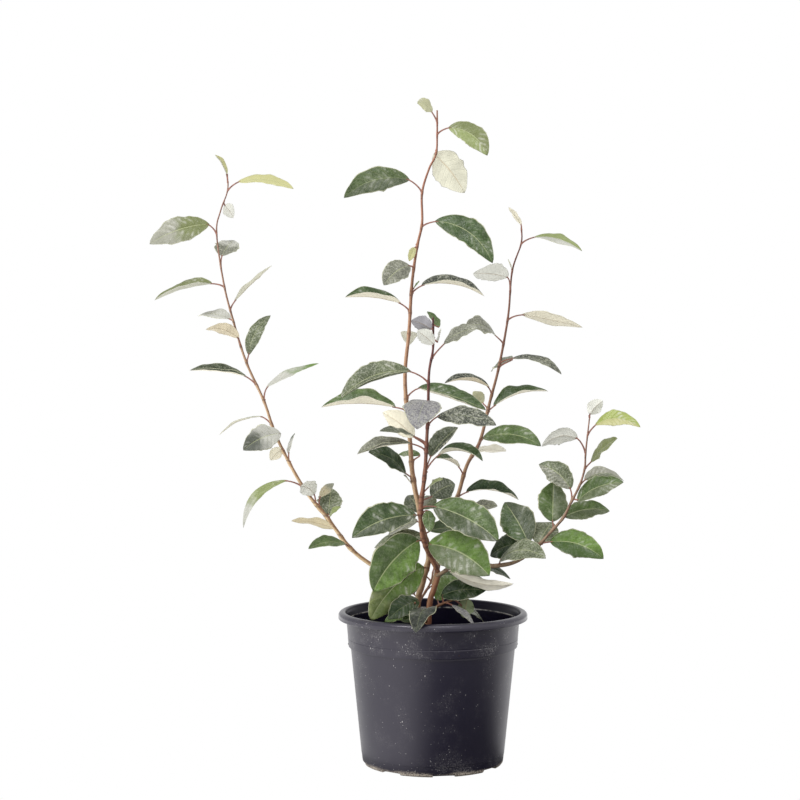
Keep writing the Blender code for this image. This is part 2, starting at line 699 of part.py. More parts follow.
def make_limb(name, cane_name, start, end, collection, bark, green):
    """A limb, or the length of cane in a shoot, a gap above the piece below it."""
    cane = CANES[cane_name]
    low, high = cane["route"][0][2], cane["route"][-1][2]
    first = start if start == low else start + GAP / MM
    look = green if leaves_between(cane_name, start, end) else bark
    points = stretch(smooth_route(cane["route"]), first, min(end, high))
    return tube(name, cane, points, 0, collection, look)


def cut_stems_flat(limbs):
    """Cuts off what lies below the compost's surface, so that the stems stand on it."""
    bpy.ops.mesh.primitive_cube_add(size=STEM_FOOT * MM, location=(0, 0, STEM_FOOT * MM / 2))
    ground = bpy.context.object
    for name in STEMS:
        boolean(limbs[name], "DIFFERENCE", other=ground)
    bpy.data.objects.remove(ground)


def seat_on_stem(ob, stem, pieces, collection):
    """Cuts a branch's foot to fit round its stem, a gap clear of it."""
    _, cane_name, low, high = next(piece for piece in pieces if piece[0] == stem)
    cane = CANES[cane_name]
    points = stretch(smooth_route(cane["route"]), low, high)
    cutter = tube("seat", cane, points, GAP / MM, collection, None)
    boolean(ob, "DIFFERENCE", other=cutter)
    bpy.data.objects.remove(cutter)


def make_shrub(collection, bark, green):
    """All the canes' pieces first, so that each leaf can keep clear of them, and then the leaves."""
    pieces = list_pieces()
    limbs = {piece[0]: make_limb(*piece, collection, bark, green) for piece in pieces}
    cut_stems_flat(limbs)
    for name, cane_name, start, _ in pieces:
        cane = CANES[cane_name]
        if "starts_on" in cane and start == cane["route"][0][2]:
            seat_on_stem(limbs[name], cane["starts_on"], pieces, collection)
    solids = {**limbs, "pot": bpy.data.objects["pot"], "compost": bpy.data.objects["compost"]}
    trees = {name: object_tree(ob) for name, ob in solids.items()}
    grown = []
    for name, cane_name, start, end in pieces:
        leaves = leaves_between(cane_name, start, end)
        if not leaves:
            continue
        loose = named_collection(name + "_leaves")
        others = [tree for other, tree in trees.items() if other != name]
        grown += grow_leaves(name, smooth_route(CANES[cane_name]["route"]), leaves, others + grown, loose)
        boolean(limbs[name], "UNION", collection=loose)
        remove_all(loose)


def main():
    clear_scene()
    collection = named_collection("potted_oleaster")
    make_pot(collection, material("black_plastic", BLACK_PLASTIC))
    make_compost(collection, material("compost", DARK_COMPOST))
    make_shrub(collection, material("bark", BARK), material("leaf", GREEN))


main()
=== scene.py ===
"""The potted oleaster as it looks: bark, leaves, plastic and compost in place of the plain solids.

Metres, +Z up, front towards -Y. The canes and leaves follow the same rows and the same rule as the solids:
each leaf leaves its cane at a height, on a stalk, and its blade runs out, arches, turns and folds.
"""

import functools
import math
import random

import bpy
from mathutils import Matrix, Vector, noise


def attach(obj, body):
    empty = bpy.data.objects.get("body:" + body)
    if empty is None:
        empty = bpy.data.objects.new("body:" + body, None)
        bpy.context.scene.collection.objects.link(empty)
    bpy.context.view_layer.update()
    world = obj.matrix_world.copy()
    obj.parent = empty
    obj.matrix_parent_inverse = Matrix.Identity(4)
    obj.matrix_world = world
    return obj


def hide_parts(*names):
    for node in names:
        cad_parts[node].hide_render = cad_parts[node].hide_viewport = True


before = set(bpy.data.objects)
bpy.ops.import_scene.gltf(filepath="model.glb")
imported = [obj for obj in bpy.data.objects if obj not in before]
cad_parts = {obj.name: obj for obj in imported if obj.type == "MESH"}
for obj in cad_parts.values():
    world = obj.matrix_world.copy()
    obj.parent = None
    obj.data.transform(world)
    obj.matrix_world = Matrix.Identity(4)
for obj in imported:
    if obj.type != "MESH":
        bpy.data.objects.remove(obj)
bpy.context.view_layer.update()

# The eye that the photograph was taken from, in metres, its lens, and how far it looks down, in radians
EYE = Vector((-0.033, -1.8, 0.4164))
LENS = 81
SENSOR = 36
EYE_DROP = 0.0294
MM = 0.001

# The pot, in metres: its lip, collar, step, groove, wall and foot
RIM_RADIUS = 0.0948
RIM_HEIGHT = 0.152
MOUTH_RADIUS = 0.0875
LIP_HEIGHT = 0.0075
LIP_ROUNDING = 0.001
LIP_CROWN = 0.0026
LIP_INNER_DROP = 0.0022
LIP_OUTER_DROP = 0.0040
LIP_WEB = 0.004
COLLAR_TOP_RADIUS = 0.0868
COLLAR_FOOT_RADIUS = 0.0846
COLLAR_DEPTH = 0.035
STEP_IN = 0.0023
STEP_HEIGHT = 0.002
GROOVE_DEPTH = 0.00025
GROOVE_DROP = 0.0265
FOOT_RADIUS = 0.0716
FOOT_ROUNDING = 0.0024
FOOT_CORNER_HEIGHT = 0.010
MOUTH_DEPTH = 0.009
WALL = 0.0018
POT_STEPS = 168
COLLAR_FOOT_HEIGHT = RIM_HEIGHT - COLLAR_DEPTH
LEDGE_HEIGHT = RIM_HEIGHT - MOUTH_DEPTH

# How close to a corner of the pot's profile its roundness starts, which of its faces count as inside, and the
# angle from which an edge looks sharp
HOLD = 0.0005
HOLLOW_TILT = 0.6
SHARP_ANGLE = math.radians(35)

# The drain notches: how many, their depth, width and height, and how far the first is turned from the front
DRAIN_COUNT = 8
DRAIN_SIZE = (0.009, 0.022, 0.0026)
DRAIN_TURN = math.radians(8)

# The compost in the pot, with a mound round the stems. Its crumbs and chips are counted per square metre, and
# sized in millimetres by the least and the most of each measure
COMPOST_HEIGHT = 0.125
MOUND_RADIUS = 0.026
MOUND_FOOT_RADIUS = 0.050
WALL_CLEARANCE = 0.0005
GAP = 0.0003
COMPOST_STEPS = 96
MOUND_STEPS = 14
CRUMBS_PER_AREA = 90000
CHIPS_PER_AREA = 9000
CRUMB_SIZES = ((0.5, 0.5, 0.4), (1.3, 1.2, 1.0))
CHIP_SIZES = ((0.9, 1.6, 0.4), (2.2, 4.0, 0.8))
CRUMB_SEED = 5
LUMP_GRAIN = 600
LUMP_HEIGHT = 0.0012

# The shrub, in millimetres as seen from in front, as the solids have it
STEM_FOOT = 130
STEM_ROOT = STEM_FOOT - 8
ROUTE_STEP = 3
ROOT_FLARE = 0.4
FLARE_HEIGHT = 14
CANE_TAPER = 0.8
CANE_SIDES = 14
JOINT_SWELL = 0.28
JOINT_HEIGHT = 2.4
BARK_RELIEF = 0.22
BARK_GRAIN = 700
BARK_FIBRE = (1.0, 1.0, 0.3)

# A leaf's stalk, how far it sets out along the stem, and the bud in its joint: width, height, lean and rise
STALK_SIDES = 7
STALK_FOOT_RADIUS = 1.15
STALK_RADIUS = 0.72
STALK_POINTS = 7
STALK_DEPTH_SHARE = 0.15
STALK_INTO_BLADE = 0.05
STALK_SET_OUT = 0.8
TIP_MARGIN = 1.5
BUD_SIZE = (1.0, 2.0)
BUD_LEAN = 0.5
BUD_RISE = 1.2

# A blade: its net of points, with the lane that its foot and its tip are worked out in, and how its outline,
# fold, thickness, ribs and edge go. Thickness, ribs and crinkle are in millimetres and the twist in degrees.
# Each kind of wave has a lane of its own in the noise, and each leaf a place of its own in it
ALONG = 26
ACROSS = (-1, -0.93, -0.72, -0.42, -0.18, -0.05, 0, 0.05, 0.18, 0.42, 0.72, 0.93, 1)
END_LANE = 0.3
BLADE_TAPER = 0.9
BLADE_FULLNESS = 0.75
NEARLY_UPRIGHT = 0.25
FOLD_LIFT = 1.25
FOLD_EASE = 0.3
LEAF_THICKNESS = 0.5
THIN_ENDS = 3
RIB_HEIGHT = 0.55
RIB_FADE = 1.1
RIB_GROOVE = 0.18
EDGE_WAVE = 0.1
EDGE_WAVES = (3.0, 5.0)
EDGE_RIPPLE = 0.1
EDGE_RIPPLES = 12
RIPPLE_LANE = 5
EDGE_DROOP = 0.10
MARGIN_FROM = 0.58
LOPSIDED = 0.10
LOPSIDED_LANE = 9
UNREST_GAIN = 1.6
CRINKLE = 0.5
CRINKLE_SIZE = 9
NOISE_REACH = 50
TWIST = 9
SIDE_VEINS = 9
VEIN_SWEEP = 1.7
LEAF_SEED = 7

# The tones of leaves, as red, green and blue out of 255 as they are seen, and the shares of them that the
# materials of the upper faces and of the backs have, since the soft light brings them up
LEAF_SHADE = 0.53
BACK_SHADE = 0.9
TONES = {
    "ink": (66, 72, 66),
    "deep": (42, 68, 32),
    "dark": (74, 102, 48),
    "moss": (88, 108, 62),
    "mid": (98, 126, 62),
    "bright": (116, 154, 58),
    "light": (164, 178, 112),
    "olive": (134, 144, 88),
    "new": (222, 220, 156),
    "pale": (214, 214, 172),
    "lime": (186, 200, 104),
    "dark_grey": (92, 104, 78),
    "slate": (96, 102, 92),
    "grey_green": (126, 138, 102),
    "grey": (150, 152, 134),
    "silver": (184, 184, 168),
    "violet": (168, 166, 170),
    "white": (228, 228, 218),
    "cream": (232, 226, 204),
    "beige": (220, 208, 180),
    "tan": (196, 184, 150),
    # A cream brightened as painted light, for backs that lie in shade
    "blond": (255, 250, 232),
    "silver_back": (214, 212, 192),
    "rib": (182, 188, 142),
    "edge": (204, 204, 172),
}

# Each cane: its route (across, away, up), its radius at the foot and the tip, and the height at which
# each of its pieces starts. The first two start in the compost, and the others on a stem
CANES = {
    "front": {
        "route": [
            (-6, 0, STEM_ROOT), (-3, 0, 160), (1, -1, 174), (5, -3, 188), (2, -5, 198), (-6, -10, 214),
            (-11, -15, 232), (-12, -21, 258), (-8, -33, 292), (-5, -50, 350), (-4, -62, 390), (0, -68, 415),
            (0, -76, 446),
        ],
        "radius": (3.4, 0.9),
        "pieces": {"main_stem": STEM_ROOT, "front_low": 205, "front_mid": 296, "front_tip": 372},
    },
    "tall": {
        "route": [
            (-17, 6, STEM_ROOT), (-15, 6, 162), (-11, 7, 177), (-7, 8, 193), (-4, 9, 205), (-6, 10, 218),
            (-11, 12, 238), (-14, 12, 256), (-18, 13, 274), (-21, 14, 294), (-23, 15, 322), (-28, 18, 384),
            (-24, 20, 432), (-21, 22, 480), (-16, 24, 516), (-11, 25, 540), (-11, 26, 570), (-4, 27, 594),
            (3, 28, 609), (4, 28, 630), (4, 29, 652),
        ],
        "radius": (3.5, 0.8),
        "pieces": {
            "side_stem": STEM_ROOT, "tall_foot": 189, "tall_low": 272, "tall_mid": 390, "tall_tip": 505,
        },
    },
    "left": {
        "starts_on": "side_stem",
        "route": [
            (-13, 7, 172), (-35, 12, 184), (-60, 16, 197), (-83, 21, 215), (-105, 27, 244), (-130, 35, 276),
            (-156, 46, 325), (-169, 52, 362), (-187, 59, 402), (-200, 66, 444), (-209, 71, 480),
            (-216, 77, 530), (-212, 79, 552), (-205, 80, 572), (-205, 81, 589),
        ],
        "radius": (2.3, 0.6),
        "pieces": {"left_bough": 172, "left_low": 203, "left_mid": 290, "left_upper": 392, "left_tip": 465},
    },
    "right": {
        "starts_on": "main_stem",
        "route": [
            (1, 1, 178), (4, 6, 192), (7, 12, 208), (12, 24, 240), (24, 34, 265), (34, 45, 298),
            (47, 57, 322), (57, 72, 362), (66, 84, 397), (75, 98, 447), (79, 108, 492), (88, 113, 520),
            (88, 116, 537),
        ],
        "radius": (2.7, 0.7),
        "pieces": {"right_bough": 178, "right_low": 252, "right_mid": 336, "right_tip": 432},
    },
    "far": {
        "starts_on": "main_stem",
        "route": [
            (4, -4, 187), (10, -8, 190.5), (16, -11, 194), (27, -15, 195.2), (42, -19, 196), (67, -28, 197.5),
            (85, -34, 202), (103, -39, 215), (119, -45, 232), (131, -50, 246), (139, -54, 262),
            (147, -59, 278), (152, -63, 295), (153, -68, 312), (157, -75, 349),
        ],
        "radius": (1.9, 0.6),
        "pieces": {"far_bough": 187, "far_foot": 192.5, "far_low": 212, "far_tip": 256},
    },
    "foot_left": {
        "starts_on": "side_stem",
        "route": [(-16, 5, 146), (-17, -8, 151), (-18, -20, 156), (-18, -28, 160)],
        "radius": (1.5, 0.8),
        "pieces": {"foot_left": 146},
    },
    "foot_right": {
        "starts_on": "main_stem",
        "route": [(-5, 0, 149), (4, -3, 156), (18, -8, 162), (33, -14, 166)],
        "radius": (1.6, 0.8),
        "pieces": {"foot_right": 149},
    },
    "foot_front": {
        "starts_on": "main_stem",
        "route": [(-6, 0, 139), (-7, -10, 145), (-7, -26, 150), (-5, -40, 153)],
        "radius": (1.5, 0.8),
        "pieces": {"foot_front": 139},
    },
    "foot_back": {
        "starts_on": "side_stem",
        "route": [(-15, 6, 152), (-14, 18, 160), (-8, 36, 170), (-2, 54, 181), (0, 70, 191)],
        "radius": (1.6, 0.8),
        "pieces": {"foot_back": 152},
    },
}

# The leaves up each cane: the height where the stalk leaves it, the stalk (across, up), the blade from its
# foot to its tip (across, away, up), its width, how far it arches as a share of its length, how far its
# upper face is turned to the front, how far its halves fold up, and its look. A look names the upper face's
# tone, or two for its upper and lower halves as seen (a+b), or two from foot to tip (a>b), and then, after a
# bar, the tone of its back, and after a caret, how many degrees its lower margin curls up
LEAVES = {
    "left": [
        (215, (-4, 4), (-38, -24, -5), 18, 0.10, 35, 12, "mid"),
        (226, (-5, 8), (-45, 20, 8), 20, 0.06, -35, 10, "grey_green|tan"),
        (244, (1, 2), (12, -6, 10), 9, 0.10, 50, 15, "light"),
        (245, (1, 3), (3, 22, 27), 26, 0.05, 10, 10, "grey_green"),
        (254, (0, 12), (14, 12, 14), 10, 0.05, 40, 12, "tan>grey"),
        (258, (-2, 10), (-14, -24, 9), 18, 0.10, -60, 10, "mid|white"),
        (276, (-15, 7), (-45, -16, -48), 10, 0.20, 50, 12, "light>white"),
        (300, (-1, 10), (6, 26, 20), 14, 0.05, -50, 15, "white>dark_grey|white"),
        (312, (-1, 3), (-12, 0, -12), 14, 0.05, -60, 12, "mid|cream"),
        (325, (4, 5), (-38, -34, -17), 26, 0.08, 60, 12, "white>slate"),
        (338, (-9, 9), (-44, 26, -19), 10, 0.10, 0, 15, "mid>pale"),
        (362, (2, 14), (53, 24, 24), 15, 0.04, 18, 16, "white>bright"),
        (378, (-10, 9), (-57, -15, 6), 20, 0.06, 32, 14, "dark_grey|cream^100"),
        (400, (2, 8), (22, 22, 40), 15, 0.13, 40, 12, "grey_green"),
        (417, (-2, 8), (-33, -24, 9), 18, 0.12, -35, 12, "mid|beige"),
        (442, (-3, 2), (-33, 34, 3), 20, 0.08, 20, 15, "white>silver"),
        (453, (4, 9), (38, -20, 36), 18, 0.02, 5, 18, "silver"),
        (476, (-12, 4), (-58, 12, -17), 26, 0.06, 40, 14, "olive+silver|silver^80"),
        (497, (1, 10), (12, 30, 16), 26, 0.05, 10, 12, "grey>white"),
        (529, (-7, 10), (-60, -22, -20), 29, 0.07, 62, 10, "olive>silver"),
        (560, (1, -2), (9, 14, -13), 14, 0.05, -60, 12, "white|white"),
        (572, (10, 9), (56, -12, -7), 17, 0.10, 50, 10, "new"),
        (580, (-1, 8), (-12, -8, 20), 9, 0.08, 60, 22, "white+new|white"),
    ],
    "tall": [
        (194, (-2, 2), (-54, -40, -54), 42, 0.10, 68, 10, "bright>light"),
        (222, (0, 1), (-52, 22, -8), 24, 0.10, 40, 12, "grey_green+grey"),
        (238, (-4, 4), (-30, 18, -14), 20, 0.05, 45, 12, "grey|beige"),
        (251, (0, -1), (-12, 24, 18), 22, 0.08, 20, 10, "dark_grey"),
        (282, (-2, -2), (-8, -12, 8), 10, 0.05, 40, 10, "grey"),
        (284, (-7, 5), (-38, -26, 22), 26, 0.12, 50, 12, "deep"),
        (301, (9, 7), (-22, 20, 1), 10, 0.05, 45, 12, "mid"),
        (352, (-11, 4), (-75, 14, 0), 35, 0.06, 12, 42, "mid|cream"),
        (364, (12, 12), (68, -18, -23), 30, 0.04, 42, 14, "dark|cream^70"),
        (430, (0, 2), (0, 34, -14), 18, 0.10, 0, 14, "grey"),
        (451, (-9, 9), (-56, -16, 6), 28, 0.06, 10, 40, "dark|cream"),
        (469, (10, 9), (63, 14, -11), 27, 0.11, 22, 36, "slate+dark|cream"),
        (473, (2, 2), (6, -8, 7), 7, 0.05, 50, 10, "bright"),
        (495, (-4, 3), (-26, -34, -20), 24, 0.08, 50, 12, "grey"),
        (517, (-2, -1), (-6, -8, -14), 8, 0.05, 50, 10, "new"),
        (536, (13, 6), (58, -22, -42), 28, 0.15, 65, 8, "dark"),
        (570, (-12, 13), (-66, -18, -18), 26, 0.13, 65, 8, "moss+dark_grey"),
        (611, (-3, -2), (31, 14, -39), 36, 0.05, -82, 8, "light|silver_back"),
        (628, (11, 7), (39, -14, -28), 24, 0.16, 70, 8, "olive+light"),
        (640, (-5, 10), (-15, -10, 9), 16, 0.16, 70, 12, "pale"),
    ],
    "front": [
        (217, (2, 2), (62, -40, -32), 44, 0.10, 60, 8, "bright+grey_green"),
        (222, (-5, 1), (-46, -34, -52), 46, 0.09, 68, 12, "mid+bright"),
        (226, (6, 6), (50, 20, -8), 26, 0.12, 40, 12, "dark"),
        (247, (-4, 1), (-65, -34, -23), 34, 0.09, 60, 12, "dark+dark_grey^50"),
        (249, (7, 4), (2, -12, -22), 13, 0.05, 10, 10, "mid"),
        (250, (2, 4), (13, 12, 12), 16, 0.05, 40, 12, "silver+grey_green"),
        (255, (12, 2), (66, -34, -35), 38, 0.07, 62, 12, "mid+dark_grey"),
        (262, (10, 4), (24, 20, 13), 24, 0.08, 60, 12, "dark_grey"),
        (268, (6, 8), (15, -16, 8), 11, 0.05, 35, 12, "light"),
        (284, (6, 22), (28, 14, 30), 24, 0.06, 45, 14, "dark_grey|cream^90"),
        (290, (13, 18), (45, -20, -6), 24, 0.17, 20, 36, "dark|cream"),
        (312, (-15, 8), (-54, -26, -11), 21, 0.08, 30, 12, "grey|cream^100"),
        (317, (-12, 9), (-32, 12, 25), 24, 0.05, -70, 10, "mid|cream"),
        (319, (-12, 8), (-35, -24, 5), 20, 0.06, 18, 16, "dark_grey"),
        (337, (9, 10), (60, -20, -9), 24, 0.08, 42, 8, "slate"),
        (358, (-1, 5), (-10, -34, -29), 36, 0.15, 5, 10, "violet"),
        (380, (-17, 12), (-71, -30, -27), 27, 0.12, 52, 10, "grey_green|cream^110"),
        (404, (12, 15), (35, -16, 16), 20, 0.10, 40, 12, "grey"),
        (420, (1, -1), (-17, -14, 14), 16, 0.02, -60, 20, "white|white"),
        (424, (4, -3), (4, 8, 14), 12, 0.02, -50, 20, "white|white"),
        (434, (-2, 0), (-20, -14, 9), 16, 0.06, -50, 12, "violet|violet"),
        (438, (6, -2), (-12, 8, 16), 13, 0.05, 10, 15, "mid"),
    ],
    "right": [
        (262, (15, -8), (27, -8, 3), 18, 0.08, 45, 10, "grey"),
        (265, (9, 6), (53, 20, -8), 26, 0.11, 26, 38, "deep|cream"),
        (287, (-4, 9), (-23, -22, 9), 16, 0.10, 24, 34, "dark|cream"),
        (308, (-4, 4), (38, 24, 0), 22, 0.04, -28, 12, "mid|blond"),
        (314, (6, 11), (59, -20, -8), 30, 0.13, 42, 12, "mid"),
        (351, (6, 6), (55, 18, 15), 26, 0.10, 20, 36, "dark|cream"),
        (354, (-5, 6), (-10, 20, 12), 12, 0.05, 40, 12, "pale"),
        (368, (-2, 8), (-45, -18, 4), 22, 0.12, 24, 36, "slate|beige"),
        (396, (14, 8), (-22, 24, -12), 22, 0.08, 40, 10, "grey_green"),
        (400, (12, 5), (50, -20, -16), 20, 0.14, 28, 12, "slate>grey"),
        (419, (-7, 8), (-30, -28, 10), 28, 0.14, 35, 12, "grey"),
        (443, (14, 6), (61, -16, -13), 18, 0.02, -40, 10, "mid|cream"),
        (472, (-2, 14), (-35, -26, 4), 29, 0.04, -38, 14, "mid|white"),
        (491, (0, 3), (-4, -4, 10), 7, 0.05, 50, 12, "pale"),
        (519, (12, 7), (49, -18, -14), 17, 0.10, 30, 12, "light+white"),
        (533, (0, 5), (-13, -6, 18), 8, 0.02, -30, 15, "mid|cream"),
    ],
    "far": [
        (194, (-1, -1), (66, -34, -14), 16, -0.09, -58, 10, "mid|blond"),
        (195.6, (-2, 2), (46, 12, -14), 22, 0.10, 30, 12, "deep"),
        (197.3, (1, 4), (47, -34, 3), 26, 0.18, 50, 10, "grey_green"),
        (211, (-12, 8), (-29, 24, -12), 26, 0.08, 60, 10, "deep"),
        (214, (-6, 6), (-24, 26, 41), 34, 0.04, 40, 12, "dark+dark_grey"),
        (216, (1, 3), (15, 22, 22), 28, 0.04, 15, 10, "grey_green"),
        (219, (10, 2), (54, -18, -17), 28, 0.12, 62, 10, "bright+dark"),
        (234, (-1, 7), (1, 16, 41), 31, 0.03, 5, 12, "mid+grey_green"),
        (245, (1, 1), (46, 14, 6), 22, 0.10, 60, 10, "mid+grey_green"),
        (262, (-1, 12), (-32, 16, 25), 24, 0.12, 55, 10, "grey_green+grey"),
        (264, (4, -2), (47, -16, 19), 22, 0.10, 55, 10, "mid+grey_green"),
        (277, (5, 6), (40, 24, -1), 18, 0.16, 40, 12, "silver+grey_green"),
        (294, (6, 7), (27, -22, 24), 21, 0.06, 50, 12, "olive"),
        (310, (-8, 15), (-36, -16, -8), 20, 0.15, -60, 10, "mid|white"),
        (328, (7, 10), (46, -14, -2), 17, 0.18, 45, 12, "lime+new"),
        (346, (0, 3), (13, -4, 14), 16, 0.05, -60, 15, "white|white"),
    ],
    "foot_left": [
        (149, (-6, -2), (-26, 8, -6), 13, 0.08, 60, 10, "bright"),
        (154, (4, 8), (-31, -26, -19), 22, 0.08, 55, 10, "deep"),
    ],
    "foot_right": [
        (157, (-2, 5), (20, 36, 24), 24, 0.06, 30, 12, "bright"),
        (160, (6, -2), (23, -24, -21), 8, 0.06, 10, 14, "violet|white"),
        (159, (-2, 8), (45, -12, 5), 26, 0.08, 60, 10, "deep"),
        (163, (13, -12), (17, 36, -11), 12, 0.08, 45, 12, "dark_grey"),
        (165, (8, 0), (-4, -1, -20), 18, 0.05, 20, 10, "grey_green|grey_green"),
    ],
    "foot_front": [
        (147, (-6, -2), (-18, -8, -4), 14, 0.06, 40, 12, "dark"),
        (152, (2, 0), (-13, -64, -22), 26, 0.16, 0, 12, "ink"),
    ],
}

# Leaves on the side away from the eye, on the one shoot that leans back: the golden angle winds them round it
BACK_SHOOT = "foot_back"
BACK_LEAVES = 4
BACK_LOWEST = 0.25
BACK_SPREAD = math.radians(80)
GOLDEN_ANGLE = math.radians(137.5)
BACK_STALK = 6
BACK_LENGTH = (46, 62)
BACK_RISE = (-16, 20)
BACK_WIDTH_SHARE = 0.42
BACK_ARCH = (0.08, 0.18)
BACK_TURN = (10, 40)
BACK_FOLD = 12
BACK_SEED = 11
BACK_LOOKS = ("mid", "dark", "grey_green", "dark")

# The first tones of upper faces that hardly shine, and of those whose dark patches are faint
DULL = ("deep", "ink", "slate", "violet", "moss")
PALE = ("light", "olive", "lime", "new", "pale", "silver", "white", "tan", "violet")
PALE_DEPTH = 0.15
DARK_DEPTH = 0.55

# How much a dull upper face and another one have of painted glints (white highlights painted into the
# colour), of midrib, and of light that they throw back
DULL_FACE = (0.12, 0.25, 0.14)
SHINY_FACE = (0.4, 0.65, 0.26)

# How strongly an upper face of each first tone is speckled with dark and with silver scales
SPECKLE = {
    0.05: ("deep", "lime", "new"),
    0.08: ("light", "white"),
    0.1: ("ink", "pale"),
    0.12: ("bright", "olive", "tan"),
    0.14: ("dark", "moss", "mid"),
    0.2: ("silver",),
    0.4: ("dark_grey",),
    0.5: ("grey_green", "grey"),
    0.6: ("violet",),
    0.7: ("slate",),
}

# How many clouds, patches and scales an upper face has in a metre, where across it and from foot to tip its
# tones meet, where from midrib to edge its midrib ends and its pale edge begins, how wide its side veins are
# as a share of the way to the next, and the height and strength of its bumps
LEAF_GRAINS = (55, 160, 680)
HALVES_MEET = (-0.05, 0.05)
TIP_BEGINS = (0.42, 0.72)
MIDRIB_ENDS = (0.010, 0.040)
EDGE_BEGINS = (0.93, 0.97)
VEIN_WIDTH = 0.16
LEAF_BUMP = (0.0009, 0.8)

# The same for a back, and the tones of its dots and its rib
BACK_GRAINS = (110, 1500)
BACK_RIB_ENDS = (0.02, 0.06)
BACK_BUMP = (0.0005, 0.8)
BACK_DOTS = (150, 118, 84)
BACK_RIB = (176, 150, 112)

# The lighter side of each cane's bark, the side towards the light, at its foot and at its tip, and of the
# shoots at the stems' feet
BARK_TONES = {
    "front": ((182, 132, 100), (100, 56, 60)),
    "tall": ((200, 172, 136), (160, 108, 88)),
    "left": ((210, 184, 144), (150, 112, 100)),
    "right": ((178, 150, 118), (124, 76, 66)),
    "far": ((150, 128, 104), (164, 128, 112)),
}
FOOT_BARK = ((170, 130, 92), (150, 106, 76))

# The share of those tones that the bark's material has, since the soft light brings them up. Its other side,
# away from the light, is painted browner, redder and darker as painted shade: it has these shares of red,
# green and blue, with 1 after them, and lies this way
BARK_SHADE = 0.86
SHADED_SIDE_SHARES = (0.36, 0.26, 0.21, 1.0)
SHADED_SIDE_WAY = (0.95, -0.20, 0.24)

# How many patches, fibres and pores bark has in a metre, its bumps, between how many millimetres from its
# middle the dark mark at a leaf's joint fades, and how many it wanders
BARK_GRAINS = (130, 1300, 700)
BARK_BUMP = (0.0004, 0.8)
JOINT_MARK = (0.3, 1.6)
JOINT_UNREST = 2

# The stalks and the buds: their tone, the share of it that their other patches have, how many of these are in
# a metre, where in the noise they begin and are full, their bumps' height and strength, and their roughness
SMALL_WOOD = {
    "leaf_stalk": ((108, 70, 58), 1.6, 300, (0.35, 0.65), (0.0002, 0.5), 0.5),
    "bud": ((150, 96, 66), 0.55, 1400, (0.4, 0.65), (0.0003, 0.8), 0.6),
}

# The pot's own colour, its shine's and its dirt's, as linear red, green, blue and 1 (the dust's colour also
# paints a highlight on the ledge inside), how high the dust and the stain round its foot reach, in metres,
# how many films, drifts of dust, grains and turning marks are in a metre, and the plastic's bumps, outside
# and inside
BLACK_PLASTIC = (0.0040, 0.0030, 0.0125, 1.0)
PLASTIC_SHINE = (0.98, 0.94, 1.0, 1.0)
DUST_AND_HIGHLIGHT = (0.62, 0.60, 0.58, 1.0)
FOOT_STAIN = (0.60, 0.52, 0.42, 1.0)
FOOT_DUST_HEIGHT = 0.025
STAIN_HEIGHTS = (0.0005, 0.005)
PLASTIC_GRAINS = (28, 40, 900, 700)
PLASTIC_BUMP = (0.0001, 0.5)
INSIDE_GRAIN = 120
INSIDE_BUMP = (0.0001, 0.3)

# The compost's three tones, how many bits and how much finer grain it has in a metre, and its bumps
COMPOST_TONES = ((0.018, 0.012, 0.008, 1.0), (0.085, 0.050, 0.030, 1.0), (0.26, 0.18, 0.11, 1.0))
COMPOST_GRAINS = (420, 1300)
COMPOST_BUMP = (0.0006, 1.0)

# The specks of dust on the pot, of three sizes: cells in a metre, a speck's share of its cell, and how the
# cells are stretched
SPECKS = ((230, 0.12, (1, 1, 0.5)), (330, 0.14, (1, 0.6, 1)), (560, 0.22, (1, 1, 1)))

# The soft boxes: where each one is, how wide it is and its watts, and where they point
SOFT_BOXES = {
    "soft_box_left": ((-1.1, -1.2, 1.9), 0.5, 16),
    "soft_box_front": ((0.35, -1.1, 2.1), 0.4, 8),
}
LIGHT_AIM = (0, 0, 0.35)

# The studio: how bright its white sweep and its sky are, with a darker way at the front right of the floor,
# a brighter one at the front left, and the floor dimmer near the pot and brighter far off
WHITE = (1.0, 1.0, 1.0, 1.0)
SKY_FRONT = 1.35
SKY_BACK = 0.9
SKY_TURN = (-0.35, 0.65)
FLOOR_GLOW = 1.3
FLOOR_DARK = 0.06
DARK_WAY = (0.66, -0.75, 0.0)
DARK_EDGE = (0.34, 0.84)
BRIGHT_WAY = (-0.80, -0.60, 0.0)
BRIGHT_EDGE = (0.80, 1.0)
BRIGHT_MORE = 0.35
NEAR_FOOT = (0.082, 0.100)
NEAR_GLOW = 0.35
FAR_OFF = (0.38, 0.50)
FAR_GLOW = 1.22
DARK_REACH = (0.70, 1.1)
FLOOR_SIZE = 40


class Value:
    """What one socket gives. A sum on it adds a Math node to its tree."""

    def __init__(self, tree, socket):
        self.tree = tree
        self.socket = socket

    def sum(self, operation, first, second=0.0):
        return self.tree.add("ShaderNodeMath", {0: first, 1: second}, operation=operation)

    def __add__(self, other):
        return self.sum("ADD", self, other)

    def __radd__(self, other):
        return self.sum("ADD", other, self)

    def __sub__(self, other):
        return self.sum("SUBTRACT", self, other)

    def __rsub__(self, other):
        return self.sum("SUBTRACT", other, self)

    def __mul__(self, other):
        return self.sum("MULTIPLY", self, other)

    def __rmul__(self, other):
        return self.sum("MULTIPLY", other, self)

    def __abs__(self):
        return self.sum("ABSOLUTE", self)

    def fraction(self):
        return self.sum("FRACT", self)

    def between(self, low, high):
        """0 up to low and 1 from high, with a smooth rise between them."""
        sockets = {0: self, 1: low, 2: high, 3: 0.0, 4: 1.0}
        return self.tree.add("ShaderNodeMapRange", sockets, interpolation_type="SMOOTHSTEP")


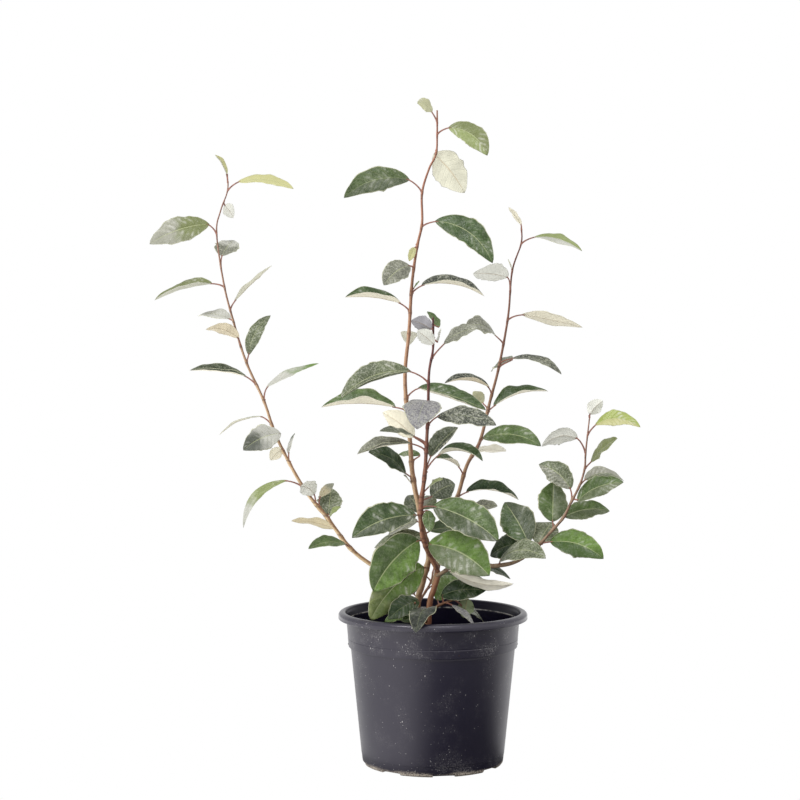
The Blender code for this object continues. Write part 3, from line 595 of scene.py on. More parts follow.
class Tree:
    """A node tree, with the one method that adds any node to it and a few that it makes short."""

    def __init__(self, tree):
        self.tree = tree

    def put(self, value, target):
        if isinstance(value, Value):
            self.tree.links.new(value.socket, target)
        else:
            target.default_value = value

    def add(self, kind, sockets=None, output=0, **settings):
        node = self.tree.nodes.new(kind)
        for name, value in settings.items():
            setattr(node, name, value)
        for key, value in (sockets or {}).items():
            self.put(value, node.inputs[key])
        return None if output is None else Value(self, node.outputs[output])

    def mix(self, share, first, second, blend="MIX"):
        sockets = {0: share, 6: first, 7: second}
        return self.add("ShaderNodeMix", sockets, 2, data_type="RGBA", blend_type=blend)

    def place(self, stretch=(1, 1, 1)):
        here = self.add("ShaderNodeTexCoord", output="Object")
        return self.add("ShaderNodeMapping", {"Vector": here, "Scale": stretch})

    def noise(self, place, scale, detail=2, roughness=0.5):
        sockets = {"Vector": place, "Scale": scale, "Detail": detail, "Roughness": roughness}
        return self.add("ShaderNodeTexNoise", sockets)

    def spots(self, place, scale, output):
        return self.add("ShaderNodeTexVoronoi", {"Vector": place, "Scale": scale}, output)

    def part(self, vector, axis):
        return self.add("ShaderNodeSeparateXYZ", {0: vector}, axis)

    def vector(self, operation, sockets, output=0):
        return self.add("ShaderNodeVectorMath", sockets, output, operation=operation)

    def bump(self, height, depth, strength):
        return self.add("ShaderNodeBump", {"Height": height, "Distance": depth, "Strength": strength})

    def coats(self, colour, coats):
        """The colour under several coats, each one the share of it that shows and its own colour."""
        for share, coat in coats:
            colour = self.mix(share, colour, coat)
        return colour


def tone(colour, by=1.0):
    """A colour out of 255, as the shader's linear red, green, blue and 1, times a share."""
    parts = [c / 255 for c in colour]
    return (*[by * (p / 12.92 if p <= 0.04045 else ((p + 0.055) / 1.055) ** 2.4) for p in parts], 1.0)


def leaf_tone(name, by=1.0):
    """The tone of an upper face, which the soft light brings up to how it is listed."""
    return tone(TONES[name], LEAF_SHADE * by)


def shaded(colour, by):
    return (*[c * by for c in colour[:3]], 1.0)


def new_look(name):
    """The node tree of a new material."""
    made = bpy.data.materials.new(name)
    made.use_nodes = True
    tree = Tree(made.node_tree)
    tree.look = made
    return tree


def painted(tree, **surface):
    """The tree's material, with these values on its shader's sockets."""
    shader = tree.tree.nodes["Principled BSDF"]
    for socket, value in surface.items():
        tree.put(value, shader.inputs[socket.replace("_", " ")])
    return tree.look


def in_scene(name, data):
    ob = bpy.data.objects.new(name, data)
    bpy.context.scene.collection.objects.link(ob)
    return ob


def mesh_object(name, corners, faces, looks=(), smooth=True):
    mesh = bpy.data.meshes.new(name)
    mesh.from_pydata(corners, [], faces)
    for each in looks:
        mesh.materials.append(each)
    mesh.polygons.foreach_set("use_smooth", [smooth] * len(mesh.polygons))
    return in_scene(name, mesh)


def applied(ob):
    """A new object in place of this one, with what its modifiers make as its plain mesh."""
    bpy.context.view_layer.update()
    mesh = bpy.data.meshes.new_from_object(ob.evaluated_get(bpy.context.evaluated_depsgraph_get()))
    name = ob.name
    bpy.data.objects.remove(ob)
    mesh.name = name
    return in_scene(name, mesh)


def node_group(name, inputs, output):
    """The tree of a new geometry node group, and what each of its inputs, by name and kind, gives."""
    group = bpy.data.node_groups.new(name, "GeometryNodeTree")
    for each, kind in inputs.items():
        group.interface.new_socket(each, in_out="INPUT", socket_type="NodeSocket" + kind)
    group.interface.new_socket(output, in_out="OUTPUT", socket_type="NodeSocketGeometry")
    tree = Tree(group)
    given = group.nodes.new("NodeGroupInput")
    return tree, [Value(tree, socket) for socket in given.outputs[:len(inputs)]]


def raised(tree, geometry, height):
    """The geometry with each point moved out by the height, which the tree works out for it."""
    normal = tree.add("GeometryNodeInputNormal")
    offset = tree.vector("SCALE", {0: normal, "Scale": height})
    return tree.add("GeometryNodeSetPosition", {"Geometry": geometry, "Offset": offset})


def real(tree, geometry):
    return tree.add("GeometryNodeRealizeInstances", {"Geometry": geometry})


def given_out(tree, geometry, paint):
    """Ends a group: its real geometry, with its material, is what it gives."""
    finished = tree.add("GeometryNodeSetMaterial", {"Geometry": geometry, "Material": paint})
    tree.add("NodeGroupOutput", {0: finished}, None)
    return tree.tree


def with_nodes(ob, group, values):
    """What the group makes of the object with these values of its named inputs, as a plain mesh."""
    modifier = ob.modifiers.new("nodes", "NODES")
    modifier.node_group = group
    for item in group.interface.items_tree:
        if item.in_out == "INPUT" and item.name in values:
            modifier[item.identifier] = values[item.name]
    return applied(ob)


def joined(name, obs):
    """One object out of several meshes, which keeps their materials and UV maps."""
    first = obs[0]
    with bpy.context.temp_override(
        active_object=first, selected_objects=obs, selected_editable_objects=obs
    ):
        bpy.ops.object.join()
    first.name = name
    first.data.name = name
    return first


def shown(ob, slot, *nodes):
    """The piece stands for its CAD nodes and rides with them."""
    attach(ob, "root")
    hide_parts(*nodes)


def catmull(a, b, c, d, t):
    return 0.5 * (2 * b + (c - a) * t + (2 * a - 5 * b + 4 * c - d) * t**2 + (3 * b - a - 3 * c + d) * t**3)


def smooth_route(points):
    """Points about ROUTE_STEP apart on a smooth curve through the route's own points."""
    knots = [Vector(p) for p in points]
    knots = [2 * knots[0] - knots[1], *knots, 2 * knots[-1] - knots[-2]]
    route = []
    for a, b, c, d in zip(knots, knots[1:], knots[2:], knots[3:]):
        count = max(1, round((c - b).length / ROUTE_STEP))
        route += [catmull(a, b, c, d, k / count) for k in range(count)]
    return [*route, knots[-2]]


def point_at(route, up):
    """Where the route is at that height. Every route rises all the way."""
    for low, high in zip(route, route[1:]):
        if low.z <= up <= high.z:
            return low.lerp(high, (up - low.z) / (high.z - low.z))
    return route[-1] if up > route[-1].z else route[0]


def stretch(route, start, end):
    """The part of the route between two heights."""
    inner = [p for p in route if start < p.z - 1 and p.z + 1 < end]
    return [point_at(route, start), *inner, point_at(route, end)]


def placed(seen):
    """The world point that lies that far away, behind the point seen at (across, up) in the pot's plane."""
    in_plane = Vector((seen.x, 0, seen.z)) * MM
    return EYE + (in_plane - EYE) * (1 - seen.y * MM / EYE.y)


def back_leaves():
    """Leaves for the side away from the eye, wound round their shoot by the golden angle."""
    draw = random.Random(BACK_SEED)
    low = CANES[BACK_SHOOT]["route"][0][2]
    high = CANES[BACK_SHOOT]["route"][-1][2]
    for k in range(BACK_LEAVES):
        share = BACK_LOWEST + (1 - BACK_LOWEST) * k / (BACK_LEAVES - 1)
        length = draw.uniform(*BACK_LENGTH)
        bearing = math.pi / 2 + BACK_SPREAD * math.sin((k + 1) * GOLDEN_ANGLE)
        blade = (length * math.cos(bearing), length * math.sin(bearing), draw.uniform(*BACK_RISE))
        stalk = (BACK_STALK * math.cos(bearing), BACK_STALK)
        arch = draw.uniform(*BACK_ARCH)
        turn = draw.uniform(*BACK_TURN)
        width = length * BACK_WIDTH_SHARE
        yield low + (high - low) * share, stalk, blade, width, arch, turn, BACK_FOLD, BACK_LOOKS[k]


def leaves_of(cane_name):
    return back_leaves() if cane_name == BACK_SHOOT else LEAVES[cane_name]


def list_pieces():
    """Each limb and shoot in turn: its name, its cane's name, and the heights where it starts and ends."""
    for cane_name, cane in CANES.items():
        starts = list(cane["pieces"].values())
        for name, start, end in zip(cane["pieces"], starts, [*starts[1:], math.inf]):
            yield name, cane_name, start, end


def cane_radius(cane_name, up):
    """A cane's radius at a height, in millimetres: its taper, its flared foot and its leaf joints."""
    cane = CANES[cane_name]
    low, high = cane["route"][0][2], cane["route"][-1][2]
    foot, tip = cane["radius"]
    share = max(0.0, min(1.0, (up - low) / (high - low)))
    radius = foot + (tip - foot) * share**CANE_TAPER
    if "starts_on" not in cane:
        radius *= 1 + ROOT_FLARE * math.exp(-(up - low) / FLARE_HEIGHT)
    near = max(math.exp(-(((up - leaf[0]) / JOINT_HEIGHT) ** 2)) for leaf in leaves_of(cane_name))
    return radius * (1 + JOINT_SWELL * near)


def limb_tree():
    """Geometry nodes that turn a curve with radii into a round limb with its bark's relief."""
    inputs = {"Line": "Geometry", "Sides": "Int", "Relief": "Float", "Grain": "Float", "Look": "Material"}
    tree, (line, sides, relief, grain, paint) = node_group("limb_round_its_line", inputs, "Limb")
    ring = tree.add("GeometryNodeCurvePrimitiveCircle", {"Resolution": sides, "Radius": 1.0})
    radius = tree.add("GeometryNodeInputRadius")
    sockets = {"Curve": line, "Profile Curve": ring, "Scale": radius, "Fill Caps": True}
    tube = tree.add("GeometryNodeCurveToMesh", sockets)
    here = tree.add("GeometryNodeInputPosition")
    fibres = tree.vector("MULTIPLY", {0: here, 1: BARK_FIBRE})
    rough = raised(tree, tube, (tree.noise(fibres, grain, 3, 0.6) - 0.5) * relief)
    smooth = tree.add("GeometryNodeSetShadeSmooth", {"Geometry": rough})
    return given_out(tree, real(tree, smooth), paint)


def grown(name, lines, group, values):
    """The mesh that the limb tree makes along several lines of (point, radius in metres)."""
    curve = bpy.data.curves.new(name, "CURVE")
    curve.dimensions = "3D"
    for points in lines:
        line = curve.splines.new("POLY")
        line.points.add(len(points) - 1)
        for point, (place, radius) in zip(line.points, points):
            point.co = (*place, 1)
            point.radius = radius
    return with_nodes(in_scene(name, curve), group, values)


class Leaf:
    """One leaf in its place: its stalk's root and foot, its blade's run from there, and its blade's shape."""

    def __init__(self, cane_name, row, draw):
        up, stalk, blade, self.width, self.arch, self.turn, fold, words = row
        self.look, _, margin = words.partition("^")
        self.margin = math.radians(float(margin or 0))
        route = smooth_route(CANES[cane_name]["route"])
        height = min(up, route[-1].z - TIP_MARGIN)
        root = point_at(route, height)
        foot = root + Vector((stalk[0], STALK_DEPTH_SHARE * blade[1], stalk[1]))
        self.growing = (placed(point_at(route, height + ROUTE_STEP)) - placed(root)).normalized()
        self.root = placed(root)
        self.foot = placed(foot)
        self.run = placed(foot + Vector(blade)) - self.foot
        self.length = self.run.length
        self.fold = math.radians(fold)
        self.stem_radius = cane_radius(cane_name, height) * MM
        self.frame()
        self.waves = draw.uniform(*EDGE_WAVES)
        self.phases = (draw.uniform(0, math.tau), draw.uniform(0, math.tau))
        self.twist = math.radians(draw.uniform(-TWIST, TWIST))
        self.spot = Vector([draw.uniform(0, NOISE_REACH) for _ in range(3)])

    def frame(self):
        """Its up, upper face and side: the turn brings that face round to the front."""
        ahead = self.run.normalized()
        up = Vector((0, 0, 1)) - ahead * ahead.z
        if up.length < NEARLY_UPRIGHT:
            up = Vector((0, 1, 0)) - ahead * ahead.y
        up.normalize()
        front = ahead.cross(up)
        if front.y > 0:
            front.negate()
        angle = math.radians(self.turn)
        self.up = up
        self.face = up * math.cos(angle) + front * math.sin(angle)
        self.side = front * math.cos(angle) - up * math.sin(angle)
        seen = Vector((-1, 0, 0)) if abs(self.run.z) > abs(self.run.x) else Vector((0, 0, 1))
        self.first_side = 1 if self.side.dot(seen) > 0 else -1

    def middle(self, share):
        return self.foot + self.run * share + self.up * (self.arch * self.length * 4 * share * (1 - share))

    def half_width(self, share):
        share = max(0.0, min(1.0, share))
        return self.width * MM / 2 * math.sin(math.pi * share**BLADE_TAPER) ** BLADE_FULLNESS

    def axes(self, share):
        """The blade's line, its side and its upper face at a share of its length."""
        step = 0.01
        along = (self.middle(share + step) - self.middle(share - step)).normalized()
        out = (self.side - along * self.side.dot(along)).normalized()
        top = out.cross(along)
        if top.dot(self.face) < 0:
            top.negate()
        angle = self.twist * math.sin(math.pi * share)
        side = out * math.cos(angle) + top * math.sin(angle)
        return along, side, top * math.cos(angle) - out * math.sin(angle)

    def unrest(self, along, lane):
        """A smooth irregular wave from about -1 to 1, of its own in each lane."""
        return UNREST_GAIN * noise.noise(Vector((along, lane, self.spot.x)))

    def point(self, share, across, below):
        """A point of the upper skin, or of the lower one, at a share of the length and of the half width."""
        along, out, top = self.axes(share)
        half = self.half_width(share)
        reach = abs(across)
        lift = half * math.sin(self.fold) * reach * (FOLD_LIFT - FOLD_EASE * reach)
        lift -= half * EDGE_DROOP * reach**4
        phase = self.phases[0] if across > 0 else self.phases[1]
        body = math.sin(math.pi * share)
        lift += self.width * MM * EDGE_WAVE * reach**2 * body * self.unrest(self.waves * share, phase)
        half *= 1 + body * LOPSIDED * self.unrest(2 * share, phase + LOPSIDED_LANE)
        half *= 1 + body * EDGE_RIPPLE * reach**4 * self.unrest(EDGE_RIPPLES * share, phase + RIPPLE_LANE)
        if across * self.first_side < 0:
            over = max(0.0, reach - MARGIN_FROM)
            lift += half * over * math.sin(self.margin)
            across *= 1 - over * (1 - math.cos(self.margin)) / reach
        place = self.middle(share) + out * (half * across * math.cos(self.fold))
        crinkle = noise.noise(place / (CRINKLE_SIZE * MM) + self.spot)
        lift += CRINKLE * MM * crinkle * body
        if below:
            depth = LEAF_THICKNESS * MM * (1 - reach**2) * min(1.0, THIN_ENDS * body)
            if across == 0:
                depth += RIB_HEIGHT * MM * body * (RIB_FADE - share)
            lift -= depth
        elif across == 0:
            lift -= RIB_GROOVE * MM * body
        return place + top * lift

    def stalk(self):
        """The stalk's line with its radii: up out of the joint, and into the back of the blade."""
        end = self.middle(STALK_INTO_BLADE) - self.axes(STALK_INTO_BLADE)[2] * LEAF_THICKNESS * MM / 2
        reach = (self.foot - self.root).length
        away = (self.foot - self.root).normalized()
        leave = (away + self.growing * STALK_SET_OUT).normalized() * reach
        arrive = self.axes(STALK_INTO_BLADE)[0] * reach
        points = []
        for k in range(STALK_POINTS):
            t = k / (STALK_POINTS - 1)
            # The shares of the two ends and of the ways that the line leaves and arrives
            at_root = 2 * t**3 - 3 * t**2 + 1
            leaving = t**3 - 2 * t**2 + t
            at_end = 3 * t**2 - 2 * t**3
            arriving = t**3 - t**2
            place = self.root * at_root + leave * leaving + end * at_end + arrive * arriving
            radius = STALK_RADIUS + (STALK_FOOT_RADIUS - STALK_RADIUS) * (1 - t) ** 3
            points.append((place, radius * MM))
        return points

    def bud(self):
        """Where the bud in this leaf's joint sits, and which way it points."""
        away = (self.foot - self.root).normalized()
        outward = (away - self.growing * away.dot(self.growing)).normalized()
        aim = (self.growing + outward * BUD_LEAN).normalized()
        return self.root + outward * self.stem_radius + self.growing * BUD_RISE * MM, aim


def look_names(words):
    """The tones of a look: its upper half, its lower half, its tip and its back."""
    top, _, back = words.partition("|")
    top, _, tip = top.partition(">")
    first, _, second = top.partition("+")
    return first, second or first, tip or None, back or "silver_back"


def blade_net(tree):
    """Where a point of a blade is: along it, across it from -0.5 to 0.5, and from its midrib to its edge."""
    net = tree.add("ShaderNodeUVMap", uv_map="leaf")
    across = tree.part(net, 1) - 0.5
    return tree.part(net, 0), across, abs(across) * 2


def off_side_vein(along, reach, unrest):
    """How far a point of a blade is from its side vein: 0 on it, and 0.5 midway to the next."""
    return abs((along * SIDE_VEINS - reach * VEIN_SWEEP + unrest).fraction() - 0.5)


@functools.cache
def blade_top(first, second, tip):
    """The upper face: its tones by half and to the tip, silver scales, painted sheen and glints, side veins,
    pale edge.
    """
    grain = next(strength for strength, names in SPECKLE.items() if first in names)
    depth = PALE_DEPTH if first in PALE else DARK_DEPTH
    painted_glints, midrib, shine = DULL_FACE if first in DULL else SHINY_FACE
    name = "_".join(each for each in ("blade", first, second, tip) if each)
    tree = new_look(name)
    along, across, reach = blade_net(tree)
    place = tree.place()
    clouds = tree.noise(place, LEAF_GRAINS[0])
    patches = tree.noise(place, LEAF_GRAINS[1], 3, 0.6)
    scales = tree.noise(place, LEAF_GRAINS[2], 1, 0.5)
    half = (across + (clouds - 0.5) * 0.25 + (patches - 0.5) * 0.12).between(*HALVES_MEET)
    colour = tree.mix(half, leaf_tone(second), leaf_tone(first))
    if tip:
        colour = tree.mix((along + (clouds - 0.5) * 0.8).between(*TIP_BEGINS), colour, leaf_tone(tip))
    off_vein = off_side_vein(along, reach, patches * 0.7)
    vein = (1 - off_vein.between(0.0, VEIN_WIDTH)) * clouds.between(0.4, 0.6)
    # Painted sheen: streaks between the side veins, where light glances off the blade
    sheen_streak = off_vein.between(0.12, 0.42) * patches.between(0.42, 0.6)
    # The silver film: silver scurf in clouds, and painted sheen in the streaks
    film = (clouds.between(0.5, 0.72) * 0.25 + sheen_streak * 0.3) * (0.35 + grain)
    # Painted highlight: white glints in the sheen streaks where the clouds are light
    painted_glint = sheen_streak * clouds.between(0.5, 0.66) * painted_glints
    dark_clouds = (1 - clouds.between(0.36, 0.54)) * depth
    dark_patches = (1 - patches.between(0.36, 0.5)) * depth * 0.75
    dark_scales = (1 - scales.between(0.36, 0.5)) * grain
    pale_scales = scales.between(0.52, 0.64) * 0.8 * grain
    rib = 1 - reach.between(*MIDRIB_ENDS)
    edge = reach.between(*EDGE_BEGINS)
    colour = tree.coats(colour, (
        (film, leaf_tone("silver", 1.2)),
        (painted_glint, leaf_tone("white", 1.3)),
        (dark_clouds, leaf_tone(first, 0.45)),
        (dark_patches, leaf_tone(first, 0.45)),
        (dark_scales, leaf_tone(first, 0.3)),
        (pale_scales, leaf_tone("silver", 1.3)),
        (vein * 0.18, leaf_tone("rib")),
        (rib * midrib, leaf_tone("rib", 1.4)),
        (edge * 0.8, leaf_tone("edge", 1.7)),
    ))
    height = patches * 0.8 - vein * 0.3 + scales * 0.2
    roughness = 0.24 + patches.between(0.3, 0.7) * 0.2
    normal = tree.bump(height, *LEAF_BUMP)
    return painted(tree, Base_Color=colour, Roughness=roughness, Normal=normal, Specular_IOR_Level=shine)


@functools.cache
def blade_back(back):
    """The back: silver or cream felt of tiny scales with brown dots, and ribs that stand out."""
    tree = new_look("back_" + back)
    along, _, reach = blade_net(tree)
    place = tree.place()
    patches = tree.noise(place, BACK_GRAINS[0], 3, 0.6)
    scales = tree.noise(place, BACK_GRAINS[1], 2, 0.7)
    vein = 1 - off_side_vein(along, reach, patches * 0.5).between(0.0, VEIN_WIDTH)
    rib = 1 - reach.between(*BACK_RIB_ENDS)
    felt = tone(TONES[back], BACK_SHADE)
    colour = tree.coats(felt, (
        (patches.between(0.3, 0.75) * 0.5, shaded(felt, 0.72)),
        (scales.between(0.62, 0.76) * 0.12, tone(BACK_DOTS)),
        (vein * 0.1, shaded(felt, 0.7)),
        (rib * 0.4, tone(BACK_RIB)),
    ))
    height = vein * 0.4 + rib * 0.6 + scales * 0.2
    normal = tree.bump(height, *BACK_BUMP)
    return painted(tree, Base_Color=colour, Normal=normal, Roughness=0.62, Specular_IOR_Level=0.4)


def blades(name, leaves):
    """One mesh of several leaf blades, each with its own looks and its net of points as a UV map."""
    corners = []
    faces = []
    nets = []
    looks = []
    slots = []
    for leaf in leaves:
        *top, back = look_names(leaf.look)
        pair = (blade_top(*top), blade_back(back))
        looks += [each for each in pair if each not in looks]
        add_blade(leaf, corners, faces, nets, slots, [looks.index(each) for each in pair])
    ob = mesh_object(name, corners, faces, looks)
    ob.data.polygons.foreach_set("material_index", slots)
    net = ob.data.uv_layers.new(name="leaf")
    for loop, place in zip(net.data, nets):
        loop.uv = place
    ob.data.update()
    return ob


def add_blade(leaf, corners, faces, nets, slots, looks):
    """Adds a blade's two skins, which share their edge, foot and tip, to the lists of a mesh."""
    spot = {}

    def corner(row, column, below):
        shared = row in (0, ALONG) or column in (0, len(ACROSS) - 1)
        if row in (0, ALONG):
            column = 0
        key = (row, column, below and not shared)
        if key not in spot:
            spot[key] = len(corners)
            across = END_LANE if row in (0, ALONG) else ACROSS[column]
            corners.append(leaf.point(row / ALONG, across, below and not shared))
        return spot[key]

    flips = leaf.side.cross(leaf.run).dot(leaf.face) < 0
    for below in (False, True):
        for row in range(ALONG):
            for column in range(len(ACROSS) - 1):
                ring = [(row, column), (row, column + 1), (row + 1, column + 1), (row + 1, column)]
                if row == 0:
                    ring.pop(0)
                if row == ALONG - 1:
                    ring.pop(2)
                if flips == below:
                    # Turned over, and cut along the same diagonal as the other skin, which would poke through
                    ring.reverse()
                    ring.append(ring.pop(0))
                faces.append([corner(*each, below) for each in ring])
                for each_row, each_column in ring:
                    across = ACROSS[each_column] * leaf.first_side
                    nets.append((each_row / ALONG, 0.5 + across / 2))
                slots.append(looks[1] if below else looks[0])


def bark(cane_name):
    """Thin bark: its tone from foot to tip, long fibres, one side browner as painted shade, dark patches and
    joints, pores.
    """
    foot, tip = BARK_TONES.get(cane_name, FOOT_BARK)
    low, *_, high = [up * MM for _, _, up in CANES[cane_name]["route"]]
    tree = new_look("bark_of_" + cane_name)
    place = tree.place()
    up = tree.part(place, 2)
    patches = tree.noise(place, BARK_GRAINS[0], 3, 0.6)
    fibres = tree.noise(tree.place((1, 1, 0.12)), BARK_GRAINS[1], 3, 0.65)
    pores = tree.spots(tree.place((1, 1, 0.6)), BARK_GRAINS[2], "Distance")
    share = (up + (patches - 0.5) * 0.06).between(low, high)
    colour = tree.mix(share, tone(foot, BARK_SHADE), tone(tip, BARK_SHADE))
    colour = tree.mix(fibres.between(0.45, 0.75) * 0.3, colour, tone(foot, BARK_SHADE * 1.2))
    # Painted shade: the side turned away from the light is painted browner, redder and darker
    outwards = tree.add("ShaderNodeNewGeometry", output="Normal")
    side = tree.vector("DOT_PRODUCT", {0: outwards, 1: SHADED_SIDE_WAY}, "Value")
    brown = (side + (patches - 0.5) * 0.9 + (fibres - 0.5) * 0.5).between(-0.45, 0.6)
    coats = [
        (brown, tree.mix(1.0, colour, SHADED_SIDE_SHARES, "MULTIPLY")),
        (patches.between(0.58, 0.7) * 0.55, tone(tip, 0.2)),
    ]
    for row in LEAVES.get(cane_name, ()):
        off = abs(up - row[0] * MM - MM + patches * JOINT_UNREST * MM)
        joint = 1 - off.between(JOINT_MARK[0] * MM, JOINT_MARK[1] * MM)
        coats.append((joint * 0.5, tone(tip, 0.25)))
    coats.append(((1 - pores.between(0.12, 0.26)) * 0.3, tone(foot, BARK_SHADE)))
    colour = tree.coats(colour, coats)
    height = fibres + patches * 0.5
    roughness = 0.55 + fibres * 0.2
    normal = tree.bump(height, *BARK_BUMP)
    return painted(tree, Base_Color=colour, Roughness=roughness, Normal=normal, Specular_IOR_Level=0.4)


def small_wood(name):
    """The look of the stalks or of the buds: patches of one tone in two shades."""
    colour, by, grain, edges, bump, roughness = SMALL_WOOD[name]
    tree = new_look(name)
    patches = tree.noise(tree.place(), grain)
    mottled = tree.mix(patches.between(*edges), tone(colour), tone(colour, by))
    return painted(tree, Base_Color=mottled, Normal=tree.bump(patches, *bump), Roughness=roughness)


def bud_tree():
    """Geometry nodes that set a small long bud on each point, along its aim."""
    inputs = {"Joints": "Geometry", "Width": "Float", "Height": "Float", "Look": "Material"}
    tree, (joints, width, height, paint) = node_group("bud_on_each_joint", inputs, "Buds")
    ball = tree.add("GeometryNodeMeshUVSphere", {"Segments": 8, "Rings": 6, "Radius": 0.5})
    size = tree.add("ShaderNodeCombineXYZ", {0: width, 1: width, 2: height})
    bud = tree.add("GeometryNodeTransform", {"Geometry": ball, "Scale": size})
    aim = tree.add("GeometryNodeInputNamedAttribute", {"Name": "aim"}, data_type="FLOAT_VECTOR")
    turned = tree.add("FunctionNodeAlignRotationToVector", {"Vector": aim}, axis="Z")
    sockets = {"Points": joints, "Instance": bud, "Rotation": turned}
    set_on = tree.add("GeometryNodeInstanceOnPoints", sockets)
    smooth = tree.add("GeometryNodeSetShadeSmooth", {"Geometry": set_on})
    return given_out(tree, real(tree, smooth), paint)


def buds(name, leaves, group, paint):
    places, aims = zip(*[leaf.bud() for leaf in leaves])
    ob = mesh_object(name, places, [])
    aim = ob.data.attributes.new("aim", "FLOAT_VECTOR", "POINT")
    for each, value in zip(aim.data, aims):
        each.vector = value
    return with_nodes(ob, group, {"Width": BUD_SIZE[0] * MM, "Height": BUD_SIZE[1] * MM, "Look": paint})


def make_shrub():
    """Each limb with its bark, and for each shoot its wood and its leaves."""
    limb = limb_tree()
    bud = bud_tree()
    barks = {cane_name: bark(cane_name) for cane_name in CANES}
    stalk_paint = small_wood("leaf_stalk")
    bud_paint = small_wood("bud")
    draw = random.Random(LEAF_SEED)
    for name, cane_name, start, end in list_pieces():
        route = smooth_route(CANES[cane_name]["route"])
        points = stretch(route, start, min(end, route[-1].z))
        line = [(placed(seen), cane_radius(cane_name, seen.z) * MM) for seen in points]
        relief = {"Sides": CANE_SIDES, "Relief": BARK_RELIEF * MM, "Grain": BARK_GRAIN}
        relief["Look"] = barks[cane_name]
        wood = [grown(name + "_cane", [line], limb, relief)]
        rows = [row for row in leaves_of(cane_name) if start <= row[0] < end]
        leaves = [Leaf(cane_name, row, draw) for row in rows]
        if not leaves:
            wood[0].name = name + "_bark"
            shown(wood[0], "bark", name)
            continue
        plain = {"Sides": STALK_SIDES, "Relief": 0.0, "Grain": BARK_GRAIN, "Look": stalk_paint}
        wood.append(grown(name + "_stalks", [leaf.stalk() for leaf in leaves], limb, plain))
        wood.append(buds(name + "_buds", leaves, bud, bud_paint))
        shown(joined(name + "_wood", wood), "bark", name)
        shown(blades(name + "_leaves", leaves), "foliage", name)


def turned(name, profile, steps):
    """The closed solid that a (radius, height) profile sweeps about Z, from axis to axis, up its inside."""
    corners = []
    index = {}
    for row, (radius, height) in enumerate(profile):
        for k in range(1 if radius == 0 else steps):
            angle = math.tau * k / steps
            index[row, k] = len(corners)
            corners.append((radius * math.cos(angle), radius * math.sin(angle), height))
    faces = []
    for row in range(len(profile) - 1):
        for k in range(steps):
            m = (k + 1) % steps
            ring = [(row, k), (row, m), (row + 1, m), (row + 1, k)]
            if profile[row][0] == 0:
                ring = [(row, 0), (row + 1, m), (row + 1, k)]
            if profile[row + 1][0] == 0:
                ring = [(row, k), (row, m), (row + 1, 0)]
            faces.append([index[each] for each in ring])
    return mesh_object(name, corners, faces)


def arc(centre, radii, start, end, steps):
    """Points of a rounding in the profile, from one angle to another in degrees, with its two radii."""
    angles = [math.radians(start + (end - start) * k / steps) for k in range(steps + 1)]
    return [(centre[0] + radii[0] * math.cos(a), centre[1] + radii[1] * math.sin(a)) for a in angles]


def held(profile, distance):
    """The profile with a point close to each end of its long lines, so that only its corners look rounded."""
    points = [profile[0]]
    for (a, b), (c, d) in zip(profile, profile[1:]):
        length = math.hypot(c - a, d - b)
        if length > 3 * distance:
            for share in (distance / length, 1 - distance / length):
                points.append((a + (c - a) * share, b + (d - b) * share))
        points.append((c, d))
    return points


